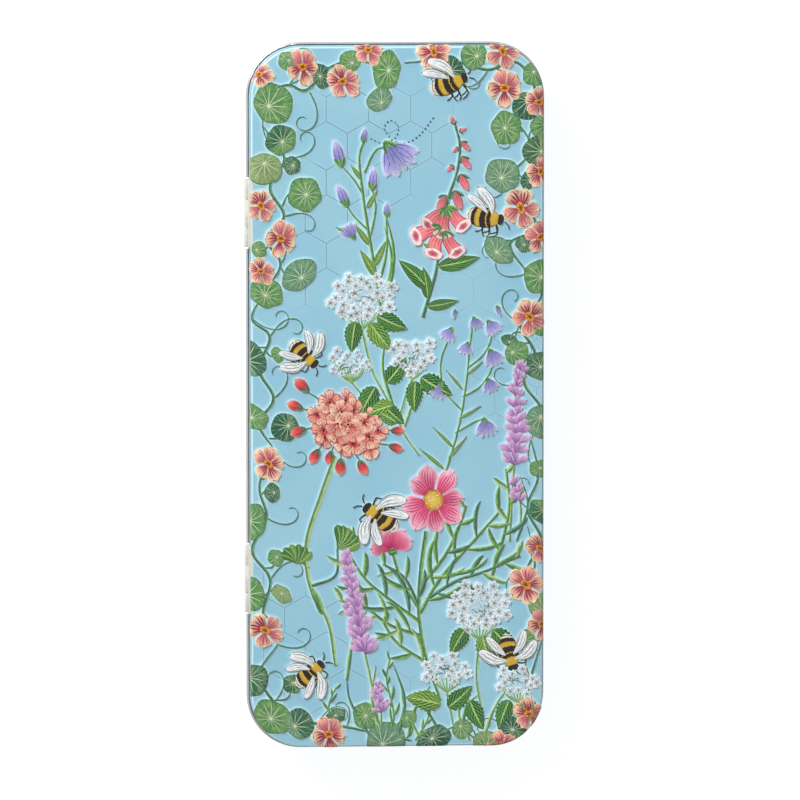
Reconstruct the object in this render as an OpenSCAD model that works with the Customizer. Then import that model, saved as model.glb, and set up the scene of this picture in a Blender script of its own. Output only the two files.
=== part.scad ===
// Hinged tinplate pencil case: a pressed base pan, a pressed lid that slips over it,
// and two small strap hinges along one long side.
// X is the short axis, Y the long axis, Z up. The tin stands on its base at z = 0,
// the hinges are on the -X side, and the origin is the centre of the base's underside.

/* [Case] */
// Overall length, over the lid's rolled edge
case_length = 195; // [150:1:260]
// Overall width, over the lid's rolled edge, without the hinges
case_width = 82.4; // [60:0.1:120]
// Height of the closed case
case_height = 20; // [16:0.5:40]
// Radius of the plan corners, over the lid's rolled edge
corner_radius = 15; // [9:0.5:25]
// Thickness of the tinplate
sheet_t = 0.3; // [0.2:0.01:0.4]

/* [Lid] */
// Depth of the lid, from its top to the underside of its rolled edge
lid_depth = 8; // [6:0.5:9]
// Outside radius of the lid's rolled edge
curl_r = 0.6; // [0.45:0.01:0.75]
// Outside radius of the bend between the lid's top and its skirt
shoulder_r = 0.7; // [0.5:0.05:1.5]
// Clearance between the skirt and the base's wall
lid_clearance = 0.5; // [0.42:0.01:0.8]
// Gap between the lid's top and the base's hem when shut
lid_seat_gap = 0.1; // [0.05:0.01:0.3]

/* [Base] */
// Outside radius of the bend between the base's floor and wall
floor_bend_r = 1.5; // [0.6:0.1:3]
// Outside radius of the hem rolled inwards along the base's top edge
hem_r = 0.5; // [0.42:0.01:0.8]

/* [Hinges] */
// Length of each hinge
hinge_length = 18.8; // [12:0.1:30]
// Distance between the middles of the two hinges
hinge_spacing = 101; // [50:1:120]
// Thickness of the hinge leaves
leaf_t = 0.4; // [0.3:0.01:0.5]
// Radius of the hinge pins
pin_r = 0.4; // [0.3:0.01:0.5]
// Radial running clearance of the pin in the lid leaf's knuckle
pin_clearance = 0.05; // [0.02:0.01:0.08]
// Share of the hinge's length taken by the lid leaf's knuckle
lid_knuckle_share = 0.4; // [0.25:0.05:0.5]
// Gap between neighbouring knuckles
knuckle_gap = 0.15; // [0.1:0.01:0.3]
// Clearance between the knuckles and the base's wall
knuckle_clearance = 0.4; // [0.3:0.01:0.6]
// Margin between a knuckle and the notch in the lid's edge
notch_margin = 0.4; // [0.3:0.05:0.6]
// Distance from the lid's top down to the lid leaf's top edge
lid_leaf_drop = 0.8; // [0.8:0.1:2]
// Height of the base leaf's flat part on the wall
base_leaf_height = 5; // [3:0.1:6]
// Radius of the leaves' free corners
leaf_corner_r = 0.8; // [0.3:0.1:1.2]

/* [Hidden] */
$fn = 96;
small = 0.01;

// The lid's plan sizes, on the outer face of its skirt
curl_reach = 2 * curl_r - sheet_t;
skirt_x = case_width - 2 * curl_reach;
skirt_y = case_length - 2 * curl_reach;
skirt_corner_r = corner_radius - curl_reach;
curl_z = case_height - lid_depth + curl_r;

// The base's plan sizes, on the outer face of its wall
wall_inset = sheet_t + lid_clearance;
base_x = skirt_x - 2 * wall_inset;
base_y = skirt_y - 2 * wall_inset;
base_corner_r = skirt_corner_r - wall_inset;
base_height = case_height - sheet_t - lid_seat_gap;

// The hinge sections are drawn in (u, z), where u is the distance out from the skirt
knuckle_r = pin_r + pin_clearance + leaf_t;
axis_u = knuckle_r + knuckle_clearance - wall_inset;
axis_z = curl_z;
notch_top_z = axis_z + knuckle_r + notch_margin;
notch_length = hinge_length + 2 * notch_margin;
lid_leaf_top_z = case_height - lid_leaf_drop;
lid_knuckle_length = hinge_length * lid_knuckle_share;
base_knuckle_length = (hinge_length - lid_knuckle_length) / 2 - knuckle_gap;
base_knuckle_y = (hinge_length - base_knuckle_length) / 2;
joggle_z = axis_z - knuckle_r - notch_margin;
joggle_drop = 0.6;
base_leaf_top_z = joggle_z - joggle_drop;

tin_blue = "#97cadd";
enamel_cream = "#e6e8de";
pin_steel = "#c9ccca";

// A rectangle with round corners, centred on the origin
module rounded_rectangle(x, y, r) {
  square([x - 2 * r, y], center = true);
  square([x, y - 2 * r], center = true);
  for (sx = [-1, 1], sy = [-1, 1])
    translate([sx * (x / 2 - r), sy * (y / 2 - r)])
      circle(r = r);
}

// A flat sheet with round corners, from z upwards
module panel(x, y, r, z) {
  translate([0, 0, z])
    linear_extrude(height = sheet_t)
      rounded_rectangle(x, y, r);
}

// Carries a (u, z) section round a rounded rectangle, where u = 0 lies on the outline
module sweep_round(x, y, r) {
  for (turn = [0, 180])
    rotate([0, 0, turn]) {
      translate([x / 2, 0, 0])
        rotate([90, 0, 0])
          linear_extrude(height = y - 2 * r, center = true)
            children();
      translate([0, y / 2, 0])
        rotate([90, 0, 90])
          linear_extrude(height = x - 2 * r, center = true)
            children();
    }
  for (corner = [[1, 1, 0], [-1, 1, 90], [-1, -1, 180], [1, -1, 270]])
    translate([corner[0] * (x / 2 - r), corner[1] * (y / 2 - r), 0])
      rotate([0, 0, corner[2]])
        rotate_extrude(angle = 90)
          translate([r, 0])
            children();
}

// A quarter of a sheet bend of outside radius r about a centre; quadrant is [+-1, +-1]
module bend(centre, r, quadrant) {
  translate(centre)
    intersection() {
      difference() {
        circle(r = r);
        circle(r = r - sheet_t);
      }
      scale([quadrant[0], quadrant[1]])
        square(r);
    }
}

// Section of the base's wall: floor bend, straight wall, and a hem rolled inwards
module base_section() {
  hem_centre = [-hem_r, base_height - hem_r];
  bend([-floor_bend_r, floor_bend_r], floor_bend_r, [1, -1]);
  translate([-sheet_t, floor_bend_r])
    square([sheet_t, hem_centre[1] - floor_bend_r]);
  for (quadrant = [[1, 1], [-1, 1], [-1, -1]])
    bend(hem_centre, hem_r, quadrant);
}

// Section of the lid's skirt: shoulder bend, straight skirt, and a curl rolled outwards
module lid_section() {
  curl_centre = [curl_r - sheet_t, curl_z];
  bend([-shoulder_r, case_height - shoulder_r], shoulder_r, [1, 1]);
  translate([-sheet_t, curl_z])
    square([sheet_t, case_height - shoulder_r - curl_z]);
  for (quadrant = [[-1, -1], [1, -1], [1, 1]])
    bend(curl_centre, curl_r, quadrant);
}

module base_pan() {
  color(tin_blue) {
    sweep_round(base_x, base_y, base_corner_r)
      base_section();
    panel(
      base_x - 2 * floor_bend_r,
      base_y - 2 * floor_bend_r,
      base_corner_r - floor_bend_r,
      0
    );
  }
}

module lid_shell() {
  color(tin_blue)
    difference() {
      union() {
        sweep_round(skirt_x, skirt_y, skirt_corner_r)
          lid_section();
        panel(
          skirt_x - 2 * shoulder_r,
          skirt_y - 2 * shoulder_r,
          skirt_corner_r - shoulder_r,
          case_height - sheet_t
        );
      }
      for (side = [-1, 1])
        hinge_notch(side);
    }
}

// Clears the curl and the foot of the skirt round one hinge
module hinge_notch(side) {
  low_z = curl_z - curl_r - small;
  on_hinge_side(side * hinge_spacing / 2, notch_length)
    translate([-sheet_t - small, low_z])
      square([curl_reach + sheet_t + 2 * small, notch_top_z - low_z]);
}

// Runs a (u, z) section along Y on the hinge side, centred on y
module on_hinge_side(y, length) {
  translate([-skirt_x / 2, y, 0])
    rotate([90, 0, 0])
      linear_extrude(height = length, center = true)
        mirror([1, 0])
          children();
}

// A leaf's flat plate from low_z to high_z with its inner face at u, its free edge's
// corners rounded; free is 1 if that edge is the top one and -1 if it is the bottom one
module leaf_plate(y, low_z, high_z, u, free) {
  middle_z = (low_z + high_z) / 2;
  reach_z = (high_z - low_z) / 2;
  translate([-skirt_x / 2 - u - leaf_t, y, middle_z])
    rotate([90, 0, 90])
      linear_extrude(height = leaf_t) {
        rounded_rectangle(hinge_length, 2 * reach_z, leaf_corner_r);
        translate([-hinge_length / 2, free > 0 ? -reach_z : 0])
          square([hinge_length, reach_z]);
      }
}

// A knuckle and what joins it, with its bore; children are the (u, z) section of the strap
module knuckle(y, length, bore_r) {
  difference() {
    on_hinge_side(y, length) {
      translate([axis_u, axis_z])
        circle(r = knuckle_r);
      children();
    }
    hinge_rod(y, length + 1, bore_r);
  }
}

module hinge_rod(y, length, r) {
  translate([-skirt_x / 2 - axis_u, y, axis_z])
    rotate([90, 0, 0])
      cylinder(h = length, r = r, center = true);
}

// The leaf on the skirt: a flat plate with one strap down to the middle knuckle
module hinge_lid_leaf(side) {
  y = side * hinge_spacing / 2;
  color(enamel_cream) {
    leaf_plate(y, notch_top_z, lid_leaf_top_z, 0, 1);
    knuckle(y, lid_knuckle_length, pin_r + pin_clearance)
      translate([0, axis_z + pin_r + pin_clearance])
        square([leaf_t, notch_top_z - axis_z - pin_r - pin_clearance]);
  }
}

// The leaf on the base's wall: a flat plate with joggled straps up to the outer knuckles
module hinge_base_leaf(side) {
  y = side * hinge_spacing / 2;
  wall_u = -wall_inset;
  strap_u = axis_u - knuckle_r;
  color(enamel_cream) {
    leaf_plate(y, base_leaf_top_z - base_leaf_height, base_leaf_top_z, wall_u, -1);
    for (end = [-1, 1])
      knuckle(y + end * base_knuckle_y, base_knuckle_length, pin_r)
        polygon([
          [wall_u, base_leaf_top_z],
          [wall_u + leaf_t, base_leaf_top_z],
          [strap_u + leaf_t, joggle_z],
          [strap_u + leaf_t, axis_z],
          [strap_u, axis_z],
          [strap_u, joggle_z + leaf_t / 2],
          [wall_u, base_leaf_top_z + leaf_t / 2]
        ]);
  }
}

module hinge_pin(side) {
  color(pin_steel)
    hinge_rod(side * hinge_spacing / 2, hinge_length, pin_r);
}

base_pan();
lid_shell();
hinge_lid_leaf(1);  // upper_hinge_lid_leaf
hinge_base_leaf(1);  // upper_hinge_base_leaf
hinge_pin(1);  // upper_hinge_pin
hinge_lid_leaf(-1);  // lower_hinge_lid_leaf
hinge_base_leaf(-1);  // lower_hinge_base_leaf
hinge_pin(-1);  // lower_hinge_pin
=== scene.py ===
import math
import random

import bpy
import numpy as np
from mathutils import Matrix, Vector
from mathutils.bvhtree import BVHTree


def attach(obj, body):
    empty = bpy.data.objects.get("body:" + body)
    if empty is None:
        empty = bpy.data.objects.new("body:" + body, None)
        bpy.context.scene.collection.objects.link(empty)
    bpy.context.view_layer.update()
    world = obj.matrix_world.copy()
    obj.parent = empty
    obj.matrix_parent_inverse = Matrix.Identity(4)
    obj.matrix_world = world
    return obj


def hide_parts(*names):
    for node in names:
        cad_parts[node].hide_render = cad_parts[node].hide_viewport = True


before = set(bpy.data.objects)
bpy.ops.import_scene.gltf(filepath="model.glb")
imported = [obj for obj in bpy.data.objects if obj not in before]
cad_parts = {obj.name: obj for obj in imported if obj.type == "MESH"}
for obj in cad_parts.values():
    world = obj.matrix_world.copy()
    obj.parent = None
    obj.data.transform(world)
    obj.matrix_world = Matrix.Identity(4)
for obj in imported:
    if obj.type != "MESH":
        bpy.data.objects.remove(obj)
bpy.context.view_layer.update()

# Lengths below are in millimetres and become metres when a piece is finished
MM = 0.001
TOP = 20.0
SHEET = 0.3
# The lid's flat top, out to where the shoulder starts to bend: half sizes and corner radius
FLAT_X = 39.6
FLAT_Y = 95.9
FLAT_R = 13.4
SHOULDER_R = 0.7
# The lid's rolled edge starts below this height
EDGE_TOP = 13.3
# The base's wall stands this far inside the lid's skirt, and this bend joins it to the floor
WALL_INSET = 0.8
FLOOR_BEND_R = 1.5
# Two hinges sit this far from the middle, with cream paint behind them
HINGE_Y = 50.5
HINGE_PATCH = 9.6
# The ground rises this much round the artwork, and no raised shape stands higher than this
PLATEAU = 0.26
HIGHEST = 0.58
# Raised shapes and the ground sink back over this width along the lid's edge
EDGE_FALL = 1.2
# Turn from one seed head floret to the next, in radians
GOLDEN_TURN = 2.39996
rng = random.Random(7)


# ---------------------------------------------------------------- camera, floor, lights

def add_camera():
    """Looks almost straight down, leaning a little over the hinge side and the far end"""
    lean = Vector((-0.085, 0.09, 1))
    aim = Vector((1.4, -1.4, 12.6)) * MM
    distance = 2.4
    data = bpy.data.cameras.new("camera")
    data.sensor_width = 36
    data.lens = 391.8
    data.clip_end = 60
    camera = bpy.data.objects.new("camera", data)
    bpy.context.scene.collection.objects.link(camera)
    back = lean.normalized()
    right = Vector((0, 1, 0)).cross(back).normalized()
    turn = Matrix((right, back.cross(right), back)).transposed()
    camera.matrix_world = Matrix.Translation(aim + back * distance) @ turn.to_4x4()
    bpy.context.scene.camera = camera


def add_light(name, place, size, power):
    """A square lamp that faces the tin"""
    data = bpy.data.lights.new(name, "AREA")
    data.shape = "SQUARE"
    data.size = size
    data.energy = power
    light = bpy.data.objects.new(name, data)
    light.location = place
    light.rotation_euler = Vector(place).to_track_quat("Z", "Y").to_euler()
    bpy.context.scene.collection.objects.link(light)


def add_world(strength):
    world = bpy.data.worlds.new("studio")
    world.use_nodes = True
    background = world.node_tree.nodes["Background"]
    background.inputs["Color"].default_value = (1, 1, 1, 1)
    background.inputs["Strength"].default_value = strength
    bpy.context.scene.world = world


add_camera()
add_light("key", (-1.0, 1.15, 1.05), 0.42, 37)
add_light("fill", (0.8, -0.6, 1.7), 1.4, 4)
add_world(0.27)
bpy.context.scene.view_settings.view_transform = "Standard"


# ---------------------------------------------------------------- shader building

def ink(red, green, blue):
    """A colour from its screen values, made linear"""
    values = [c / 255 for c in (red, green, blue)]
    return tuple(c / 12.92 if c <= 0.04045 else ((c + 0.055) / 1.055) ** 2.4 for c in values) + (1.0,)


class Tree:
    """Adds nodes to a shader tree; an input may be a number, a colour or another node's output"""

    def __init__(self, tree):
        self.tree = tree

    def put(self, socket, value):
        if isinstance(value, bpy.types.NodeSocket):
            self.tree.links.new(value, socket)
        elif value is not None:
            socket.default_value = value

    def node(self, kind, inputs=None, **settings):
        made = self.tree.nodes.new("ShaderNode" + kind)
        for key, value in settings.items():
            setattr(made, key, value)
        for key, value in (inputs or {}).items():
            self.put(made.inputs[key], value)
        return made

    def math(self, operation, a, b=0.0, c=0.0, clamp=False):
        return self.node("Math", {0: a, 1: b, 2: c}, operation=operation, use_clamp=clamp).outputs[0]

    def step(self, value, low, high):
        """Rises smoothly from 0 at low to 1 at high"""
        return self.node(
            "MapRange",
            {"Value": value, "From Min": low, "From Max": high},
            interpolation_type="SMOOTHSTEP",
        ).outputs["Result"]

    def fall(self, value, low, high):
        """Falls smoothly from 1 at low to 0 at high"""
        return self.math("SUBTRACT", 1.0, self.step(value, low, high))

    def band(self, value, rise, fall):
        """1 between two soft edges, each given as where it starts and where it ends"""
        return self.math("MULTIPLY", self.step(value, *rise), self.fall(value, *fall))

    def span(self, value, low, high):
        """From low at 0 to high at 1"""
        return self.node("MapRange", {"Value": value, "To Min": low, "To Max": high}).outputs["Result"]

    def mix(self, amount, a, b):
        made = self.node("Mix", data_type="RGBA")
        for index, value in ((0, amount), (6, a), (7, b)):
            self.put(made.inputs[index], value)
        return made.outputs[2]

    def over(self, colour, mask, strength, other):
        """Lays another colour over this one where the mask is"""
        return self.mix(self.math("MULTIPLY", mask, strength), colour, other)

    def ramp(self, amount, stops, steps=False):
        made = self.node("ValToRGB", {"Fac": amount})
        ramp = made.color_ramp
        ramp.interpolation = "CONSTANT" if steps else "LINEAR"
        while len(ramp.elements) < len(stops):
            ramp.elements.new(1.0)
        for element, (place, colour) in zip(ramp.elements, stops):
            element.position = place
            element.color = colour
        return made.outputs["Color"]

    def noise(self, vector, scale, detail=2.0, rough=0.5):
        return self.node(
            "TexNoise", {"Vector": vector, "Scale": scale, "Detail": detail, "Roughness": rough}
        ).outputs["Fac"]

    def sway(self, amount, vector, scale, detail=2.0, rough=0.5):
        """Noise that swings to both sides of 0"""
        return self.math(
            "MULTIPLY", self.math("SUBTRACT", self.noise(vector, scale, detail, rough), 0.5), amount,
        )

    def distance(self, value, middle):
        return self.math("ABSOLUTE", self.math("SUBTRACT", value, middle))

    def carried(self, name):
        """A value that the piece's own points carry"""
        return self.node("Attribute", attribute_name=name, attribute_type="GEOMETRY").outputs

    def object_place(self):
        return self.node("TexCoord").outputs["Object"]

    def group(self, name, **inputs):
        made = self.node("Group", node_tree=bpy.data.node_groups[name])
        for key, value in inputs.items():
            self.put(made.inputs[key], value)
        return made.outputs


def new_group(name, inputs, outputs):
    tree = bpy.data.node_groups.new(name, "ShaderNodeTree")
    for label, value in inputs.items():
        kind = "NodeSocketColor" if isinstance(value, tuple) else "NodeSocketFloat"
        socket = tree.interface.new_socket(label, in_out="INPUT", socket_type=kind)
        socket.default_value = value
    for label, kind in outputs.items():
        tree.interface.new_socket(label, in_out="OUTPUT", socket_type="NodeSocket" + kind)
    return Tree(tree), tree.nodes.new("NodeGroupInput").outputs, tree.nodes.new("NodeGroupOutput").inputs


def make_strokes_group():
    """Brush strokes that run along a shape: Across picks the stroke, Along is how far out it is"""
    t, given, out = new_group(
        "brush_strokes",
        {
            "Across": 0.5, "Along": 0.5, "Count": 9.0, "Width": 0.3,
            "Spread": 0.0, "Reach": 0.6, "Wobble": 0.3, "Seed": 0.0,
        },
        {"Mask": "Float"},
    )
    seed = t.math("MULTIPLY", given["Seed"], 37.0)
    sway = t.node("TexNoise", {"W": t.math("MULTIPLY_ADD", given["Along"], 3.0, seed)}, noise_dimensions="1D")
    place = t.math("MULTIPLY", given["Across"], given["Count"])
    place = t.math("MULTIPLY_ADD", t.math("SUBTRACT", sway.outputs["Fac"], 0.5), given["Wobble"], place)
    off = t.distance(t.math("FRACT", place), 0.5)
    even = t.math("SUBTRACT", 1.0, given["Spread"])
    narrow = t.math("ADD", even, t.math("MULTIPLY", given["Spread"], given["Along"]))
    off = t.math("MULTIPLY", off, narrow)
    half = t.math("MULTIPLY", given["Width"], 0.5)
    line = t.fall(off, t.math("MULTIPLY", half, 0.5), half)
    own = t.node("TexWhiteNoise", {"W": t.math("ADD", t.math("FLOOR", place), seed)}, noise_dimensions="1D")
    reach = t.math("MULTIPLY", given["Reach"], t.span(own.outputs["Value"], 0.65, 1.2))
    fade = t.fall(given["Along"], t.math("MULTIPLY", reach, 0.55), reach)
    t.put(out["Mask"], t.math("MULTIPLY", line, fade, clamp=True))


def make_grain_group():
    """Fine unevenness of the print: a soft mottle and a fine dot grain"""
    t, given, out = new_group(
        "print_grain",
        {"Colour": (0.5, 0.5, 0.5, 1.0), "Mottle": 0.2, "Dots": 0.15},
        {"Colour": "Color", "Height": "Float"},
    )
    place = t.object_place()
    mottle = t.noise(place, 950.0, 3.0, 0.6)
    dots = t.noise(place, 5200.0, 1.0, 0.5)
    lift = t.math("MULTIPLY", t.math("SUBTRACT", mottle, 0.5), given["Mottle"])
    lift = t.math("MULTIPLY_ADD", t.math("SUBTRACT", dots, 0.5), given["Dots"], lift)
    lift = t.math("ADD", t.math("MULTIPLY", lift, 2.0), 1.0)
    scaled = t.node("VectorMath", {0: given["Colour"], "Scale": lift}, operation="SCALE")
    t.put(out["Colour"], scaled.outputs[0])
    t.put(out["Height"], t.math("MULTIPLY_ADD", dots, 0.4, mottle))


def make_honeycomb_group():
    """Lines of a honeycomb with upright cells; X and Y are in metres"""
    t, given, out = new_group(
        "honeycomb",
        {"X": 0.0, "Y": 0.0, "Cell": 0.0116, "Line": 0.00012},
        {"Mask": "Float", "Side": "Float"},
    )
    tall = t.math("MULTIPLY", given["Cell"], math.sqrt(3))
    reaches = []
    for shift in (0.0, 0.5):
        parts = []
        for axis, size in (("X", given["Cell"]), ("Y", tall)):
            moved = t.math("MULTIPLY_ADD", size, shift, given[axis])
            wrapped = t.math("WRAP", moved, t.math("MULTIPLY", size, -0.5), t.math("MULTIPLY", size, 0.5))
            parts.append(t.math("ABSOLUTE", wrapped))
        level = t.math("MULTIPLY", parts[0], 0.5)
        slanted = t.math("ADD", level, t.math("MULTIPLY", parts[1], math.sqrt(3) / 2))
        reaches.append(t.math("MAXIMUM", parts[0], slanted))
    inner = t.math("MINIMUM", reaches[0], reaches[1])
    gap = t.math("SUBTRACT", t.math("MULTIPLY", given["Cell"], 0.5), inner)
    line = given["Line"]
    t.put(out["Mask"], t.fall(gap, line, t.math("MULTIPLY", line, 1.8)))
    t.put(out["Side"], t.fall(gap, t.math("MULTIPLY", line, 2.0), t.math("MULTIPLY", line, 5.0)))


class Paint(Tree):
    """One finish, with the values that each raised shape carries"""

    def __init__(self, name, roughness=0.42, coat=0.25):
        self.material = bpy.data.materials.new(name)
        self.material.use_nodes = True
        super().__init__(self.material.node_tree)
        self.shader = self.tree.nodes["Principled BSDF"]
        self.shader.inputs["Roughness"].default_value = roughness
        self.shader.inputs["Coat Weight"].default_value = coat
        self.shader.inputs["Coat Roughness"].default_value = 0.22

    def form(self):
        """Across and along the shape, each from 0 to 1"""
        made = self.node("SeparateXYZ", {"Vector": self.node("UVMap", uv_map="form").outputs["UV"]})
        return made.outputs["X"], made.outputs["Y"]

    def tint(self):
        """The shape's own random value, tone and turn"""
        made = self.node("SeparateColor", {"Color": self.carried("tint")["Color"]})
        return made.outputs["Red"], made.outputs["Green"], made.outputs["Blue"]

    def finish(self, colour, mottle=0.2, dots=0.15, relief=0.02, extra=None):
        grain = self.group("print_grain", Colour=colour, Mottle=mottle, Dots=dots)
        self.put(self.shader.inputs["Base Color"], grain["Colour"])
        height = grain["Height"]
        if extra is not None:
            height = self.math("MULTIPLY_ADD", extra, 2.0, height)
        bump = self.node("Bump", {"Height": height, "Distance": relief * MM, "Strength": 0.7})
        self.put(self.shader.inputs["Normal"], bump.outputs["Normal"])
        return self.material


make_strokes_group()
make_grain_group()
make_honeycomb_group()


def petal_paint(
    name, stops, stroke, count, width, reach, spread=0.0, always=0.0, mottle=0.25, edge=None, blush=None
):
    """A petal's print: colour stops from root to rim, then brush strokes from the root.
    Strokes show fully on shapes with tone 1, and by always on those with tone 0."""
    p = Paint(name)
    across, along = p.form()
    own, tone, turn = p.tint()
    place = p.object_place()
    sway = p.sway(0.3, place, 1300.0)
    colour = p.ramp(p.math("ADD", along, sway, clamp=True), stops)
    if blush is not None:
        colour = p.mix(p.span(tone, 0.55, 0.0), colour, blush)
    fine = p.group(
        "brush_strokes", Across=across, Along=along, Count=count * 2.3, Width=width * 1.3,
        Spread=spread, Reach=1.1, Wobble=0.8, Seed=turn,
    )
    colour = p.over(colour, fine["Mask"], 0.4, stroke)
    bold = p.group(
        "brush_strokes", Across=across, Along=along, Count=count, Width=width,
        Spread=spread, Reach=reach, Wobble=0.3, Seed=own,
    )
    shown = p.span(tone, always, 1.0)
    colour = p.mix(p.math("MULTIPLY", bold["Mask"], shown), colour, stroke)
    if edge is not None:
        off = p.math("ABSOLUTE", p.math("MULTIPLY_ADD", across, 2.0, -1.0))
        if spread < 0.5:
            rim = p.math("MAXIMUM", p.step(off, 0.72, 0.9), p.step(along, 0.87, 0.95))
        else:
            rim = p.step(along, 0.88, 1.0)
        colour = p.over(colour, rim, 0.75, edge)
    bright = p.span(own, 0.88, 1.12)
    scaled = p.node("VectorMath", {0: colour, "Scale": bright}, operation="SCALE").outputs[0]
    return p.finish(scaled, mottle=mottle, extra=bold["Mask"])


def vine_leaf_paint():
    """Round leaf: pale veins from an off-centre point, a mottled green, and some with a darker half"""
    p = Paint("vine_leaf_print")
    around, out = p.form()
    own, tone, turn = p.tint()
    place = p.object_place()
    greens = [
        (0.0, ink(112, 162, 130)), (0.2, ink(100, 160, 84)), (0.45, ink(154, 180, 112)),
        (0.7, ink(34, 104, 78)), (0.9, ink(72, 142, 98)),
    ]
    green = p.ramp(tone, greens, steps=True)
    deep = p.mix(0.7, green, ink(20, 84, 62))
    pale = p.mix(0.5, green, ink(192, 208, 148))
    patch = p.noise(place, 620.0, 3.0, 0.6)
    colour = p.mix(p.step(patch, 0.42, 0.72), green, pale)
    colour = p.over(colour, p.step(p.noise(place, 1500.0, 2.0, 0.6), 0.5, 0.75), 0.6, deep)
    colour = p.over(colour, p.step(out, 0.55, 1.0), 0.55, deep)
    side = p.distance(around, 0.5)
    wave = p.sway(0.12, place, 900.0)
    half = p.fall(p.math("ADD", side, wave), 0.2, 0.24)
    half = p.math("MULTIPLY", half, p.math("MULTIPLY", p.math("GREATER_THAN", turn, 0.55), 0.8))
    colour = p.mix(half, colour, ink(22, 88, 66))
    veins = p.group(
        "brush_strokes", Across=around, Along=out, Count=13.0, Width=0.085,
        Spread=1.0, Reach=1.1, Wobble=0.12, Seed=own,
    )
    twigs = p.group(
        "brush_strokes", Across=around, Along=out, Count=31.0, Width=0.6,
        Spread=1.0, Reach=1.15, Wobble=0.8, Seed=turn,
    )
    colour = p.over(colour, twigs["Mask"], 0.4, ink(30, 88, 66))
    from_rim = p.math("SUBTRACT", 1.15, out)
    forks = p.group(
        "brush_strokes", Across=around, Along=from_rim, Count=26.0, Width=0.14,
        Reach=0.62, Wobble=0.5, Seed=turn,
    )
    colour = p.over(colour, forks["Mask"], 0.6, ink(196, 216, 164))
    colour = p.over(colour, veins["Mask"], 0.9, ink(214, 228, 186))
    eye = p.fall(out, 0.03, 0.1)
    colour = p.mix(eye, colour, ink(222, 232, 180))
    rim = p.math("MULTIPLY", p.step(out, 0.92, 1.0), p.step(p.noise(place, 500.0), 0.4, 0.55))
    colour = p.over(colour, rim, 0.7, ink(34, 92, 70))
    return p.finish(colour, mottle=0.22, extra=veins["Mask"])


def stem_paint():
    """Stems, tendrils and grass: light along one side and dark along the other"""
    p = Paint("stem_print")
    across, along = p.form()
    own, tone, _turn = p.tint()
    place = p.object_place()
    choices = [
        (0.0, ink(84, 160, 124), ink(14, 70, 62)),
        (0.2, ink(124, 184, 92), ink(28, 98, 54)),
        (0.4, ink(180, 208, 132), ink(72, 130, 72)),
        (0.6, ink(160, 200, 160), ink(50, 122, 92)),
        (0.8, ink(150, 190, 170), ink(40, 100, 90)),
    ]
    light = p.ramp(tone, [(at, a) for at, a, b in choices], steps=True)
    dark = p.ramp(tone, [(at, b) for at, a, b in choices], steps=True)
    sway = p.sway(0.7, place, 700.0)
    shade = p.step(p.math("ADD", across, sway), 0.2, 0.58)
    colour = p.mix(shade, light, dark)
    streaks = p.group(
        "brush_strokes", Across=across, Along=along, Count=3.0, Width=0.35, Reach=2.0, Wobble=1.6, Seed=own,
    )
    colour = p.over(colour, streaks["Mask"], 0.35, ink(206, 226, 160))
    return p.finish(colour, mottle=0.3, relief=0.015)


def blade_leaf_paint():
    """Toothed and lobed leaves: a pale midrib with slanting dark and yellow-green strokes"""
    p = Paint("blade_leaf_print")
    across, along = p.form()
    _own, tone, _turn = p.tint()
    place = p.object_place()
    off = p.distance(across, 0.5)
    deep = p.ramp(
        tone, [(0.0, ink(14, 72, 42)), (0.5, ink(36, 104, 50)), (0.8, ink(44, 112, 84))], steps=True,
    )
    fresh = p.ramp(
        tone, [(0.0, ink(104, 166, 70)), (0.5, ink(160, 196, 84)), (0.8, ink(140, 190, 132))], steps=True,
    )
    slope = p.math("MULTIPLY_ADD", off, -6.0, p.math("MULTIPLY", along, 6.5))
    slope = p.math("ADD", slope, p.math("MULTIPLY", p.noise(place, 1400.0), 0.7))
    wave = p.distance(p.math("FRACT", slope), 0.5)
    stripe = p.step(wave, 0.22, 0.38)
    colour = p.mix(p.math("MULTIPLY", stripe, 0.9), deep, fresh)
    lit = p.math("MULTIPLY", p.step(across, 0.48, 0.56), 0.2)
    colour = p.mix(lit, colour, fresh)
    colour = p.over(colour, p.step(off, 0.4, 0.5), 0.5, deep)
    rib = p.fall(off, 0.02, 0.06)
    colour = p.over(colour, rib, 0.85, ink(196, 218, 140))
    return p.finish(colour, mottle=0.25, extra=stripe)


def bee_body_paint():
    p = Paint("bee_band_print", roughness=0.5, coat=0.15)
    across, along = p.form()
    place = p.object_place()
    off = p.distance(across, 0.5)
    bent = p.math("ADD", along, p.math("MULTIPLY", p.math("MULTIPLY", off, off), -0.3))
    fur = p.sway(0.09, place, 3600.0, 2.0, 0.7)
    bent = p.math("ADD", bent, fur)
    black = ink(26, 22, 20)
    gold = ink(214, 176, 58)
    amber = ink(190, 142, 40)
    cream = ink(236, 232, 214)
    colour = p.ramp(
        bent,
        [
            (0.0, cream), (0.08, black), (0.1, cream), (0.15, black), (0.26, amber), (0.29, gold),
            (0.4, black), (0.57, gold), (0.6, black), (0.7, amber), (0.73, gold), (0.92, amber),
            (0.95, black),
        ],
        steps=True,
    )
    hairs = p.noise(place, 5200.0, 1.0)
    colour = p.over(colour, p.step(hairs, 0.55, 0.7), 0.45, ink(90, 60, 22))
    colour = p.over(colour, p.step(off, 0.4, 0.5), 0.7, black)
    return p.finish(colour, mottle=0.3, relief=0.04)


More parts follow.
